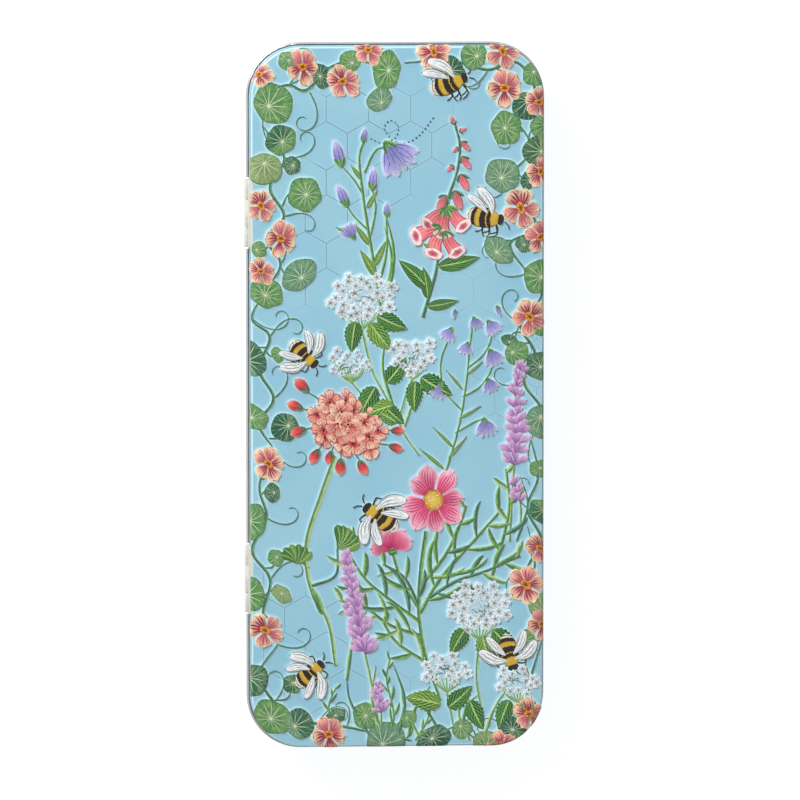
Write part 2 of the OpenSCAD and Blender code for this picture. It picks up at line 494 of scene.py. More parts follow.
def bee_wing_paint():
    p = Paint("bee_wing_print", roughness=0.35, coat=0.4)
    across, along = p.form()
    own, _tone, _turn = p.tint()
    place = p.object_place()
    off = p.math("ABSOLUTE", p.math("MULTIPLY_ADD", across, 2.0, -1.0))
    colour = p.mix(p.step(p.noise(place, 800.0), 0.4, 0.7), ink(248, 250, 248), ink(224, 236, 240))
    veins = p.group(
        "brush_strokes", Across=across, Along=along, Count=3.4, Width=0.28, Reach=1.05, Wobble=0.5, Seed=own,
    )
    colour = p.over(colour, veins["Mask"], 0.9, ink(34, 30, 30))
    cells = p.math("MULTIPLY_ADD", along, 3.2, p.math("MULTIPLY", off, 0.8))
    cross = p.fall(p.distance(p.math("FRACT", cells), 0.5), 0.02, 0.06)
    colour = p.over(colour, cross, 0.35, ink(60, 56, 54))
    rim = p.math("MAXIMUM", p.step(off, 0.82, 0.9), p.step(along, 0.94, 0.97))
    colour = p.over(colour, rim, 0.85, ink(40, 36, 34))
    return p.finish(colour, mottle=0.08)


def plain_paint(name, low, high):
    """Two close colours broken up by a fine mottle"""
    p = Paint(name)
    mottle = p.noise(p.object_place(), 1800.0, 3.0, 0.6)
    return p.finish(p.mix(p.step(mottle, 0.35, 0.65), low, high))


def dotted_eye_paint():
    """A yellow dome with cream and ochre dots"""
    p = Paint("cosmos_eye_print")
    _around, out = p.form()
    place = p.object_place()
    yellows = [
        (0.0, ink(236, 206, 92)), (0.5, ink(228, 184, 64)), (0.85, ink(196, 138, 44)),
        (1.0, ink(140, 84, 30)),
    ]
    colour = p.ramp(out, yellows)
    cells = p.node("TexVoronoi", {"Vector": place, "Scale": 1700.0}).outputs["Distance"]
    dots = p.fall(cells, 0.22, 0.42)
    colour = p.over(colour, dots, 0.85, ink(250, 238, 178))
    return p.finish(colour, relief=0.05, extra=dots)


def floret_bed_paint():
    """The green and teal specks that show between small white flowers"""
    p = Paint("floret_bed_print")
    specks = p.noise(p.object_place(), 2400.0, 2.0, 0.7)
    teals = [
        (0.3, ink(70, 130, 104)), (0.38, ink(158, 200, 212)), (0.52, ink(190, 220, 234)),
        (0.68, ink(224, 236, 244)),
    ]
    return p.finish(p.ramp(specks, teals))


INKS = {
    "vine_leaf": vine_leaf_paint(),
    "stem": stem_paint(),
    "blade_leaf": blade_leaf_paint(),
    "vine_petal": petal_paint(
        "vine_petal_print",
        [
            (0.0, ink(124, 14, 44)), (0.22, ink(200, 56, 86)), (0.42, ink(238, 124, 136)),
            (0.64, ink(250, 186, 160)), (1.0, ink(254, 226, 186)),
        ],
        ink(100, 8, 42), 5, 0.6, 0.96, always=0.5, edge=ink(253, 226, 184), blush=ink(242, 142, 152),
    ),
    "vine_eye": petal_paint(
        "vine_eye_print",
        [
            (0.0, ink(236, 186, 70)), (0.55, ink(242, 184, 60)), (0.85, ink(226, 138, 52)),
            (1.0, ink(170, 66, 44)),
        ],
        ink(140, 60, 24), 7, 0.34, 0.95, spread=1.0, always=0.8,
    ),
    "bell": petal_paint(
        "bell_print",
        [
            (0.0, ink(124, 114, 182)), (0.35, ink(150, 146, 208)), (0.7, ink(178, 174, 224)),
            (1.0, ink(220, 214, 240)),
        ],
        ink(84, 78, 164), 3, 0.24, 1.1, always=0.85, edge=ink(212, 208, 238), blush=ink(140, 160, 224),
    ),
    "foxglove": petal_paint(
        "foxglove_print",
        [
            (0.0, ink(196, 52, 76)), (0.45, ink(222, 84, 98)), (0.8, ink(236, 134, 138)),
            (1.0, ink(250, 206, 200)),
        ],
        ink(248, 186, 186), 4, 0.22, 0.95, always=0.8, edge=ink(186, 46, 76),
    ),
    "foxglove_lip": petal_paint(
        "foxglove_lip_print",
        [
            (0.0, ink(222, 120, 134)), (0.5, ink(236, 160, 168)), (0.62, ink(252, 234, 230)),
            (0.9, ink(252, 236, 232)), (1.0, ink(220, 96, 112)),
        ],
        ink(170, 36, 70), 9, 0.4, 0.62, spread=0.6, always=0.9,
    ),
    "white_petal": petal_paint(
        "white_petal_print",
        [(0.0, ink(196, 210, 190)), (0.35, ink(226, 232, 234)), (1.0, ink(242, 244, 246))],
        ink(150, 180, 196), 5, 0.34, 0.9, spread=1.0, always=0.8, mottle=0.08, edge=ink(244, 247, 250),
    ),
    "ochre_dot": plain_paint("ochre_dot_print", ink(104, 92, 50), ink(168, 138, 78)),
    "floret_bed": floret_bed_paint(),
    "geranium": petal_paint(
        "geranium_print",
        [
            (0.0, ink(150, 20, 40)), (0.2, ink(214, 76, 78)), (0.4, ink(246, 186, 160)),
            (0.8, ink(252, 216, 188)), (1.0, ink(214, 76, 84)),
        ],
        ink(172, 22, 42), 4, 0.36, 0.9, always=0.7, edge=ink(150, 18, 40), blush=ink(214, 84, 80),
    ),
    "red_bud": petal_paint(
        "red_bud_print",
        [
            (0.0, ink(120, 150, 70)), (0.18, ink(178, 44, 56)), (0.6, ink(222, 82, 80)),
            (1.0, ink(244, 150, 130)),
        ],
        ink(150, 24, 44), 2, 0.3, 0.9, always=0.7,
    ),
    "cosmos": petal_paint(
        "cosmos_print",
        [
            (0.0, ink(170, 22, 78)), (0.25, ink(220, 74, 124)), (0.55, ink(238, 128, 164)),
            (0.85, ink(248, 178, 200)), (1.0, ink(250, 204, 218)),
        ],
        ink(186, 16, 78), 7, 0.42, 1.25, always=0.95, edge=ink(248, 188, 210),
    ),
    "cosmos_eye": dotted_eye_paint(),
    "lavender": petal_paint(
        "lavender_print", [(0.0, ink(124, 84, 146)), (0.4, ink(188, 140, 194)), (1.0, ink(228, 190, 224))],
        ink(128, 80, 152), 2, 0.3, 0.8, always=0.6, edge=ink(216, 176, 216),
    ),
    "bee_body": bee_body_paint(),
    "bee_wing": bee_wing_paint(),
    "bee_dark": plain_paint("bee_dark_print", ink(22, 20, 20), ink(48, 42, 38)),
}


# ---------------------------------------------------------------- raised shapes

masters = []
pieces = {}


def own_tint(tone):
    """A shape's own random value and turn, round a set tone"""
    return rng.random(), tone, rng.random()


def deselect():
    bpy.ops.object.select_all(action="DESELECT")


def smooth_path(points, count):
    """Evenly spaced points on a smooth curve through the given ones"""
    given = np.array(points, float)
    if len(given) < 3:
        dense = np.linspace(given[0], given[-1], 24)
    else:
        ends = np.vstack([2 * given[0] - given[1], given, 2 * given[-1] - given[-2]])
        dense = []
        for a, b, c, d in zip(ends, ends[1:], ends[2:], ends[3:]):
            for t in np.linspace(0, 1, 10, endpoint=False):
                square = (2 * a - 5 * b + 4 * c - d) * t * t
                cube = (3 * b - a - 3 * c + d) * t ** 3
                dense.append(0.5 * (2 * b + (c - a) * t + square + cube))
        dense = np.array(dense + [given[-1]])
    run = np.concatenate([[0], np.cumsum(np.hypot(*np.diff(dense, axis=0).T))])
    even = np.linspace(0, run[-1], count + 1)
    return np.stack([np.interp(even, run, dense[:, 0]), np.interp(even, run, dense[:, 1])], axis=1)


def read_points(mesh):
    flat = np.empty(len(mesh.vertices) * 3)
    mesh.vertices.foreach_get("co", flat)
    return flat.reshape(-1, 3)


def write_points(mesh, points):
    mesh.vertices.foreach_set("co", points.ravel())
    mesh.update()


def set_form(obj, uv_per_loop, paint, tint):
    layer = obj.data.uv_layers.new(name="form")
    layer.uv.foreach_set("vector", np.asarray(uv_per_loop, float).ravel())
    obj.data.materials.append(INKS[paint])
    obj.data.attributes.new("tint", "FLOAT_COLOR", "POINT")
    set_tint(obj, tint)


def set_tint(obj, tint):
    """Sets the random value, tone and turn; a None keeps what the shape has"""
    data = obj.data.attributes["tint"].data
    flat = np.empty(len(data) * 4)
    data.foreach_get("color", flat)
    flat = flat.reshape(-1, 4)
    for channel, value in enumerate(tint):
        if value is not None:
            flat[:, channel] = value
    data.foreach_set("color", flat.ravel())


def swell(t, full):
    """Rises from 0 at the root to 1 where t is full, and stays there"""
    return np.sin(np.pi / 2 * np.minimum(t / full, 1))


def blunt(t, power):
    """1 along most of the blade, then down to 0 at a rounded tip"""
    return np.sqrt(np.maximum(1 - t ** power, 0))


# Half widths along a blade, from 0 at its root to 1 at its tip, as a share of the widest
SHAPES = {
    "lance": lambda t: np.sin(np.pi * t) ** 0.8,
    "leaf": lambda t: np.sin(np.pi * t ** 0.75) ** 0.85,
    "spoon": lambda t: (0.16 + 0.84 * swell(t, 0.7) ** 1.4) * blunt(t, 6),
    "frill": lambda t: (0.14 + 0.86 * swell(t, 0.72) ** 1.7) * blunt(t, 8) * (1 + 0.05 * np.sin(t * 22)),
    "slim": lambda t: (0.3 + 0.7 * swell(t, 0.45)) * np.maximum(1 - t ** 4, 0) ** 0.6,
    "strap": lambda t: np.minimum(1, 0.45 + t * 1.6) * blunt(t, 10),
    "grass": lambda t: np.minimum(1, 0.6 + t * 2) * (1 - t) ** 0.55,
    "stem": lambda t: 1 - 0.35 * t,
    "tendril": lambda t: 1 - 0.7 * t,
    "drop": lambda t: np.sqrt(np.maximum(np.sin(np.pi * np.minimum(t, 1) ** 1.3), 0)) * (1 - 0.25 * t),
    "oval": lambda t: blunt(2 * t - 1, 2),
    "bell": lambda t: 0.35 + 0.4 * np.minimum(t * 3, 1) ** 0.6 + 0.45 * t ** 3,
    "star": lambda t: np.minimum(t * 3 + 0.35, 1) * (1 - t ** 2.2) ** 0.8,
    "tooth": lambda t: np.sin(np.pi * t ** 0.7) ** 0.8 * (0.82 + 0.3 * (1 - (t * 8) % 1)),
    "wing": lambda t: (0.12 + 0.88 * swell(t, 0.65) ** 1.2) * blunt(t, 4),
}


blanks = {}


def strip_blank(across, along):
    """A flat strip of cells, made once for each number of cells"""
    if (across, along) not in blanks:
        deselect()
        bpy.ops.mesh.primitive_grid_add(x_subdivisions=across, y_subdivisions=along, size=2, calc_uvs=False)
        blanks[across, along] = bpy.context.object
        masters.append(bpy.context.object)
    return blanks[across, along]


def blade(points, wide, shape, paint, lift=0.21, high=0.1, across=2, along=0, tint=(0.5, 0.0, 0.0), tip=None):
    """A raised blade along a smooth path: wide is its widest width and high its rise at the middle"""
    length = sum(math.dist(a, b) for a, b in zip(points, points[1:]))
    along = along or max(4, int(length / 0.9))
    path = smooth_path(points, 48)
    obj = bpy.data.objects.new(paint, strip_blank(across, along).data.copy())
    bpy.context.scene.collection.objects.link(obj)
    grid = read_points(obj.data)
    s = grid[:, 0].copy()
    t = (grid[:, 1] + 1) / 2
    run = t if tip is None else t * (1 + (tip(s) - 1) * t ** 3)
    at = np.clip(run, 0, None) * 48
    slopes = np.gradient(path, axis=0)
    centre = np.stack([np.interp(at, range(49), path[:, k]) for k in (0, 1)], axis=1)
    heading = np.stack([np.interp(at, range(49), slopes[:, k]) for k in (0, 1)], axis=1)
    beyond = np.clip(at - 48, 0, None)[:, None] * slopes[-1]
    heading /= np.maximum(np.hypot(*heading.T), 1e-9)[:, None]
    aside = np.stack([heading[:, 1], -heading[:, 0]], axis=1)
    half = wide / 2 * SHAPES[shape](np.clip(t, 0, 1))
    flat = centre + beyond + aside * (s * half)[:, None]
    round_end = np.minimum(1, np.minimum(t, 1 - t) * 5 + 0.25)
    rise = high * (1 - np.abs(s) ** 2.2) * round_end
    write_points(obj.data, np.column_stack([flat, lift + rise]))
    loops = np.empty(len(obj.data.loops), int)
    obj.data.loops.foreach_get("vertex_index", loops)
    set_form(obj, np.stack([(s[loops] + 1) / 2, t[loops]], axis=1), paint, tint)
    return obj


def disc(
    radius, paint, sides=20, rings=3, outline=None, pole=0.0,
    lift=0.21, high=0.12, dimple=0.0, ribs=0, tint=(0.5, 0.0, 0.0),
):
    """A raised round shape made of rings drawn in from its rim to a pole"""
    deselect()
    bpy.ops.mesh.primitive_circle_add(vertices=sides, radius=1, fill_type="NOTHING")
    obj = bpy.context.object
    obj.name = paint
    bpy.ops.object.mode_set(mode="EDIT")
    bpy.ops.mesh.select_all(action="SELECT")
    for ring in range(rings - 1, 0, -1):
        shrink = ring / (ring + 1)
        bpy.ops.mesh.extrude_edges_indiv()
        bpy.ops.transform.resize(value=(shrink, shrink, shrink))
    bpy.ops.mesh.extrude_edges_indiv()
    bpy.ops.mesh.merge(type="CENTER")
    bpy.ops.mesh.select_all(action="SELECT")
    bpy.ops.mesh.normals_make_consistent(inside=False)
    bpy.ops.object.mode_set(mode="OBJECT")
    mesh = obj.data
    if mesh.polygons[0].normal.z < 0:
        mesh.flip_normals()
    grid = read_points(mesh)
    out = np.hypot(grid[:, 0], grid[:, 1])
    angle = np.arctan2(grid[:, 1], grid[:, 0])
    edge = pole * np.cos(angle) + np.sqrt(1 - (pole * np.sin(angle)) ** 2)
    if outline is not None:
        edge = edge * outline(angle)
    reach = out * edge * radius
    rise = high * (1 - out ** 2.5) - dimple * np.exp(-(out / 0.25) ** 2)
    if ribs:
        rise = rise + 0.016 * np.cos(ribs * angle) * out
    points = np.column_stack([reach * np.cos(angle) - pole * radius, reach * np.sin(angle), lift + rise])
    write_points(mesh, points)
    uv = []
    for face in mesh.polygons:
        corners = [(angle[i], out[i]) for i in face.vertices]
        outer = [a for a, r in corners if r > 1e-6]
        first = outer[0]
        outer = [first + (a - first + math.pi) % (2 * math.pi) - math.pi for a in outer]
        middle = sum(outer) / len(outer)
        for a, r in corners:
            turned = middle if r <= 1e-6 else first + (a - first + math.pi) % (2 * math.pi) - math.pi
            uv.append((turned / (2 * math.pi) + 0.5, r))
    set_form(obj, uv, paint, tint)
    return obj


def join(name, parts):
    deselect()
    for part in parts:
        part.select_set(True)
    bpy.context.view_layer.objects.active = parts[0]
    if len(parts) > 1:
        bpy.ops.object.join()
    parts[0].name = name
    return parts[0]


def copy_of(master, x, y, turn=0.0, size=1.0, squeeze=1.0, lift=0.0, tint=None):
    """A copy with its own mesh, turned by degrees, squeezed across before it turns"""
    obj = master.copy()
    obj.data = master.data.copy()
    bpy.context.scene.collection.objects.link(obj)
    move = (
        Matrix.Translation((x, y, lift))
        @ Matrix.Rotation(math.radians(turn), 4, "Z")
        @ Matrix.Diagonal((size * squeeze, size, 1, 1))
    )
    obj.data.transform(move)
    if tint is not None:
        set_tint(obj, tint)
    return obj


def master(name, parts):
    made = join(name, parts)
    masters.append(made)
    return made


def add(piece, *objs):
    pieces.setdefault(piece, []).extend(objs)
    return objs[0]


def turned(points, x, y, turn, size=1.0):
    """Points turned by degrees, scaled and moved"""
    c = math.cos(math.radians(turn)) * size
    s = math.sin(math.radians(turn)) * size
    return [(x + c * px - s * py, y + s * px + c * py) for px, py in points]


def curl(x, y, heading, length, start=1.0, end=30.0, hand=1):
    """Points of a tendril that winds tighter; start and end are its bend in degrees a millimetre"""
    points = [(x, y)]
    steps = max(5, int(length / 0.8))
    for k in range(steps):
        bend = start + (end - start) * (k / steps) ** 1.6
        heading += hand * bend * length / steps
        x += math.cos(math.radians(heading)) * length / steps
        y += math.sin(math.radians(heading)) * length / steps
        points.append((x, y))
    return points


# ---------------------------------------------------------------- plants and bees, each modelled once

def lobes(count, depth, phase=0.0):
    return lambda a: 1 + depth * np.cos(count * a + phase)


def make_vine_leaves():
    made = []
    looks = [(0.0, 0.03, 0.3), (1.4, 0.045, 0.18), (2.6, 0.025, 0.42), (4.0, 0.05, 0.1)]
    for k, (phase, depth, pole) in enumerate(looks):
        edge = lobes(5, depth, phase)
        leaf = disc(1.0, "vine_leaf", sides=44, rings=5, outline=edge, pole=pole, dimple=0.06, ribs=11)
        made.append(master(f"vine_leaf_{k}", [leaf]))
    return made


def make_vine_flowers():
    """Five petals, two up and three down, with open gaps between them"""
    made = []
    petals = [(34, 0.98, 0.96), (-34, 0.98, 0.96), (106, 0.88, 0.98), (180, 0.92, 1.02), (-106, 0.88, 0.98)]
    for k in range(4):
        parts = []
        dark_up = k % 2
        for petal, (angle, wide, reach) in enumerate(petals):
            up = petal < 2
            path = turned([(0, 0.08), (0.03, 0.5), (0, reach)], 0, 0, angle + rng.uniform(-8, 8))
            parts.append(blade(
                path, wide * rng.uniform(0.92, 1.08), "frill", "vine_petal",
                lift=0.24 + 0.015 * (petal % 3), high=0.11, across=6, along=7,
                tint=(rng.random(), 1.0 if up == dark_up else rng.uniform(0, 0.5), rng.random()),
                tip=lambda s, f=rng.uniform(0.03, 0.08): 1 - f * np.cos(s * 7 + f * 30),
            ))
        eye = lobes(2, 0.24, k)
        parts.append(disc(0.27, "vine_eye", sides=16, outline=eye, lift=0.33, high=0.1, tint=(0.5, 1.0, 0.2)))
        made.append(master(f"vine_flower_{k}", parts))
    return made


def make_floret():
    def edge(a):
        return 0.42 + 0.58 * np.abs(np.cos(2.5 * a)) ** 0.7

    return master("floret", [
        disc(1.0, "white_petal", sides=30, rings=2, outline=edge, lift=0.3, high=0.07, dimple=0.03),
        disc(0.2, "ochre_dot", sides=6, rings=1, lift=0.37, high=0.04),
    ])


def make_geranium_florets():
    made = []
    for k in range(4):
        parts = []
        for petal in range(5):
            path = turned([(0, 0.06), (0.02, 0.5), (0, 1.0)], 0, 0, 72 * petal + rng.uniform(-11, 11))
            parts.append(blade(
                path, rng.uniform(0.82, 0.98), "frill", "geranium",
                lift=0.24 + 0.016 * (petal % 3), high=0.1, across=6, along=7,
                tint=(rng.random(), rng.choice((1, 1, 0.6, 0.2)), rng.random()),
            ))
        parts.append(disc(0.09, "bee_dark", sides=8, rings=1, lift=0.36, high=0.02))
        made.append(master(f"geranium_floret_{k}", parts))
    return made


def make_bees():
    """The bees head along +Y; the first is seen from above and the second from its side"""
    made = []
    wing_sets = [
        [
            ([(0.7, 1.6), (3.8, 0.6), (6.6, -2.6)], 3.0), ([(0.6, 0.6), (2.6, -2.0), (4.0, -5.2)], 2.3),
            ([(-0.7, 1.6), (-3.6, 1.2), (-6.8, -1.2)], 3.0), ([(-0.6, 0.6), (-3.0, -1.2), (-4.8, -4.2)], 2.3),
        ],
        [([(-0.8, 1.2), (-3.6, 0.2), (-6.6, -3.2)], 2.9), ([(-0.9, 0.2), (-2.8, -2.2), (-4.4, -5.4)], 2.2)],
    ]
    for k, wings in enumerate(wing_sets):
        parts = []
        for n, reach in enumerate((2.6, 0.8, -0.8)):
            for hand in ((-1, 1) if k == 0 else (1, 1.25)):
                foot = (hand * 3.6, reach - 1.2 + 1.1 * n * (hand > 1))
                leg = [(hand * 1.2, reach), (hand * 2.9, reach + 0.5), foot]
                parts.append(blade(leg, 0.34, "stem", "bee_dark", lift=0.24, high=0.06))
        body = [(0, -4.9), (0.15, -1), (0, 3.3)]
        parts.append(blade(body, 4.7, "oval", "bee_body", lift=0.24, high=0.19, across=8, along=16))
        head = disc(1.15, "bee_dark", sides=14, outline=lobes(2, 0.1), lift=0.26)
        head.data.transform(Matrix.Translation((0, 3.3, 0)) @ Matrix.Diagonal((1, 0.8, 1, 1)))
        parts.append(head)
        for hand in (-1, 1):
            feeler = [(hand * 0.4, 4.4), (hand * 1.0, 5.3), (hand * 1.9, 5.7)]
            parts.append(blade(feeler, 0.26, "stem", "bee_dark", lift=0.24, high=0.05))
        for points, wide in wings:
            parts.append(blade(
                points, wide, "wing", "bee_wing",
                lift=0.38, high=0.05, across=6, along=10, tint=(rng.random(), 0, 0),
            ))
        made.append(master(f"bee_{k}", parts))
    return made


def make_bells():
    """Heads of one length, hanging along +Y from the stalk: an open bell, a closed bud and a foxglove tube"""
    def calyx():
        return [
            blade(
                [(0, -0.1), (x, 0.3)], 0.16, "lance", "stem",
                lift=0.36, high=0.05, along=4, tint=(0.5, 0.25, 0),
            )
            for x in (-0.2, 0, 0.2)
        ]

    def closed(points, wide, shape, paint, high, tint):
        return blade(points, wide, shape, paint, lift=0.25, high=high, across=6, along=8, tint=tint)

    open_bell = [
        blade(
            [(0, 0.05), (x * 0.45, 0.5), (x, y)], 0.44, "lance" if abs(x) > 0.3 else "star", "bell",
            lift=0.24 + 0.02 * k, high=0.1, across=4, along=7, tint=own_tint(0.8),
        )
        for k, (x, y) in enumerate([(-0.62, 0.78), (0.62, 0.78), (-0.32, 1.0), (0.32, 1.0), (0, 0.98)])
    ]
    bell_bud = [closed([(0, 0.0), (0.03, 0.5), (0, 1.0)], 0.46, "leaf", "bell", 0.12, (0.3, 1.0, 0.4))]
    tube = closed([(0, 0.0), (0.05, 0.5), (0, 0.92)], 0.5, "bell", "foxglove", 0.14, (0.4, 0.8, 0.2))
    lip = disc(
        0.31, "foxglove_lip", sides=22, rings=4, outline=lobes(5, 0.06, 0.6),
        lift=0.38, high=0.04, dimple=0.08, tint=(0.5, 1.0, 0.3),
    )
    lip.data.transform(Matrix.Translation((0, 0.9, 0)) @ Matrix.Diagonal((1, 0.62, 1, 1)))
    return (
        master("open_bell", open_bell + calyx()),
        master("bell_bud", bell_bud + calyx()),
        master("foxglove_tube", [tube, lip] + calyx()),
    )


def make_cosmos():
    def teeth(s):
        return 0.94 + 0.09 * np.cos(s * 8)

    def petal(path, wide, k, **cells):
        return blade(
            path, wide, "spoon", "cosmos", lift=0.23 + 0.018 * (k % 3), tint=own_tint(1.0), tip=teeth,
            **cells,
        )

    whole = []
    for k in range(8):
        turn = 45 * k + rng.uniform(-5, 5)
        middle = (rng.uniform(-0.8, 0.8), 5.5)
        path = turned([(0, 1.2), middle, (0, 10 + rng.uniform(-1.3, 0.6))], 0, 0, turn)
        whole.append(petal(path, 6.0, k, high=0.12, across=8, along=12))
    whole.append(disc(3.1, "cosmos_eye", sides=28, rings=4, lift=0.33, high=0.16))
    half = []
    for k, turn in enumerate((78, 48, 20, -12, -44, -76)):
        path = turned([(0, 0.4), (0, 3.4), (0, 6.6 + rng.uniform(-0.5, 0.4))], 0, 0, turn)
        half.append(petal(path, 4.2, k, high=0.1, across=6, along=8))
    half.append(blade(
        [(-1.4, -0.4), (0, -0.7), (1.4, -0.4)], 1.8, "oval", "blade_leaf", lift=0.32, high=0.08, across=4,
    ))
    return master("cosmos", whole), master("half_cosmos", half)


def make_simple_shapes():
    """One of each small shape, a millimetre long, pointing along +Y"""
    def one(name, wide, shape, paint, lift, high=0.12, across=4, along=5, **more):
        path = [(0, 0), (0.02, 0.5), (0, 1.0)]
        return master(name, [blade(path, wide, shape, paint, lift, high, across, along, **more)])

    return {
        "lavender": one("lavender_floret", 0.42, "spoon", "lavender", 0.26),
        "red_bud": one("red_bud", 0.5, "drop", "red_bud", 0.28, high=0.14),
        "fox_bud": one("fox_bud", 0.6, "drop", "foxglove", 0.27, tint=(0.6, 0.9, 0.1)),
        "green_bud": one("green_bud", 0.5, "drop", "stem", 0.28, tint=(0.5, 0.25, 0)),
        "tooth": one("toothed_leaf", 0.55, "tooth", "blade_leaf", 0.23, high=0.13, across=6, along=24),
        "leaf": one("long_leaf", 0.3, "leaf", "blade_leaf", 0.23, along=10),
    }


vine_leaves = make_vine_leaves()
vine_flowers = make_vine_flowers()
floret = make_floret()
geranium_florets = make_geranium_florets()
bees = make_bees()
open_bell, bell_bud, foxglove_tube = make_bells()
cosmos, half_cosmos = make_cosmos()
small = make_simple_shapes()


# ---------------------------------------------------------------- laying the pattern out

def stem(piece, points, wide=0.8, tone=0.3, shape="stem", high=0.07, lift=0.205):
    add(piece, blade(points, wide, shape, "stem", lift=lift, high=high, tint=own_tint(tone)))


def stalk(piece, start, end, bow=0.18, wide=0.6, tone=0.1):
    """A short bowed stalk between two points"""
    (ax, ay), (bx, by) = start, end
    middle = ((ax + bx) / 2 + (by - ay) * bow, (ay + by) / 2 - (bx - ax) * bow)
    stem(piece, [start, middle, end], wide, tone, lift=0.2)


def nearest(path, x, y, back):
    """The point of a vine that a stalk to (x, y) leaves from, about as far off as back"""
    def worth(point):
        gap = math.dist(point, (x, y))
        return abs(gap - back) + 0.15 * gap

    return min(path, key=worth)


LEFT_VINE = [
    (-4, 90), (-10, 92.5), (-18, 91), (-25, 84.5), (-30, 86), (-36, 83), (-37, 75), (-31, 66), (-35, 58),
    (-31, 50), (-36, 44), (-32, 37), (-36, 30), (-40, 22), (-35, 17), (-38, 8), (-34, 0), (-38, -7),
    (-34, -14), (-38, -24), (-36, -33), (-40, -42), (-35, -50), (-37, -60), (-33, -68), (-38, -76),
    (-34, -84), (-28, -89), (-22, -90), (-14, -91), (-6, -93), (4, -95),
]
RIGHT_VINE = [
    (2, 92), (10, 92.5), (18, 92), (25, 90), (33, 92), (38, 84), (33, 76), (37, 68), (31, 60), (36, 53),
    (38, 46), (31, 42), (36, 34), (40, 28), (34, 20), (38, 12), (35, 4), (40, -4), (37, -12), (39, -22),
    (36, -31), (40, -40), (36, -48), (38, -58), (40, -68), (37, -78), (36, -86), (31, -94), (22, -95),
]
# Border leaves: middle, radius, tone, and whether half of it is dark
LEAVES = [
    (-34, 81, 5.6, 0.25, 0), (-32, 71, 4.2, 0.3, 1), (-36.5, 63, 4.8, 0.5, 0), (-25.5, 56, 4.6, 0.25, 0),
    (-27, 34, 5.2, 0.1, 0), (-36, 29, 4.6, 0.3, 0), (-40, 11, 5, 0.1, 1), (-40, -5, 4.6, 0.3, 0),
    (-31, -8, 3.8, 0.75, 1), (-40, -34, 5, 0.3, 0), (-40, -54, 4.6, 0.3, 0), (-32, -54, 3, 0.5, 0),
    (-40, -78, 4.6, 0.75, 0), (-34.5, -88, 5.4, 0.3, 0), (-27, -90, 4.2, 0.1, 1), (-9, -88, 3.6, 0.25, 0),
    (-3, -95, 5.4, 0.1, 0), (10, -95, 5, 0.75, 1), (25, -96, 4, 0.5, 0), (-21, 88.5, 3.5, 0.75, 1),
    (-13, 92.5, 3, 0.3, 0), (-3, 90, 5.3, 0.3, 0), (-5, 82, 3.6, 0.1, 0), (15, 90, 4.5, 0.75, 1),
    (21, 94, 4, 0.3, 0), (38, 89, 3.6, 0.25, 0), (35.5, 80, 3.8, 0.75, 1), (30, 74, 4.5, 0.3, 0),
    (38.5, 67.5, 4, 0.5, 1), (29, 61, 4.7, 0.1, 0), (40, 74, 3.4, 0.3, 0), (36.5, 60, 3.2, 0.75, 0),
    (28, 40.5, 4.5, 0.1, 0), (39, 33, 4.5, 0.3, 0), (33, 12, 3.3, 0.25, 0), (39.5, 8.5, 4, 0.75, 0),
    (40, -7, 4.6, 0.1, 0), (40, -32, 4, 0.25, 1), (40, -58, 3.6, 0.5, 0), (32, -92, 4, 0.75, 1),
    (31, 15.5, 2.4, 0.75, 0), (-29, 64, 2.4, 0.75, 0), (-33, 12, 2.2, 0.3, 0), (35, 42, 2.4, 0.9, 0),
    (39, 19, 2.6, 0.25, 0), (-29, -79, 2.6, 0.9, 0), (36, -67, 2.5, 0.3, 0), (-17, -88, 2.8, 0.9, 0),
    (3, -89, 2.6, 0.3, 0), (-30, 92.5, 2.8, 0.3, 0), (18, -92, 2.8, 0.3, 0), (39.5, -20, 3, 0.3, 0),
    (-34.5, -26, 2.6, 0.9, 0), (-33.5, -44, 2.4, 0.3, 0), (-38, 41, 2.2, 0.3, 0),
]
# Border flowers: middle, radius and turn
FLOWERS = [
    (-26, 91, 4.8, 10), (-15, 87, 4.7, 50), (-38, 89, 3.8, 80), (-37.5, 53, 4, 20), (-32, 44, 4.8, -15),
    (-37.5, 35, 3.8, 40), (-35.5, -18, 4.6, 25), (-36.5, -64, 4.6, 60), (-19, -93, 4.8, 5),
    (-8, 95.5, 4, 30), (10, 95, 4.4, -20), (29, 95, 4.4, 15), (29.5, 85, 4.9, -5), (39, 81, 4, 35),
    (39.5, 62, 4.2, -30), (34, 52, 5, 12), (39.5, 44, 4.2, 48), (36.5, 22, 4.7, -8), (35.5, -52, 4.9, 22),
    (39.5, -42, 4, 60), (40, -63, 4.2, 0), (36.5, -88, 4.7, 40), (29, -97, 4.4, -12),
]


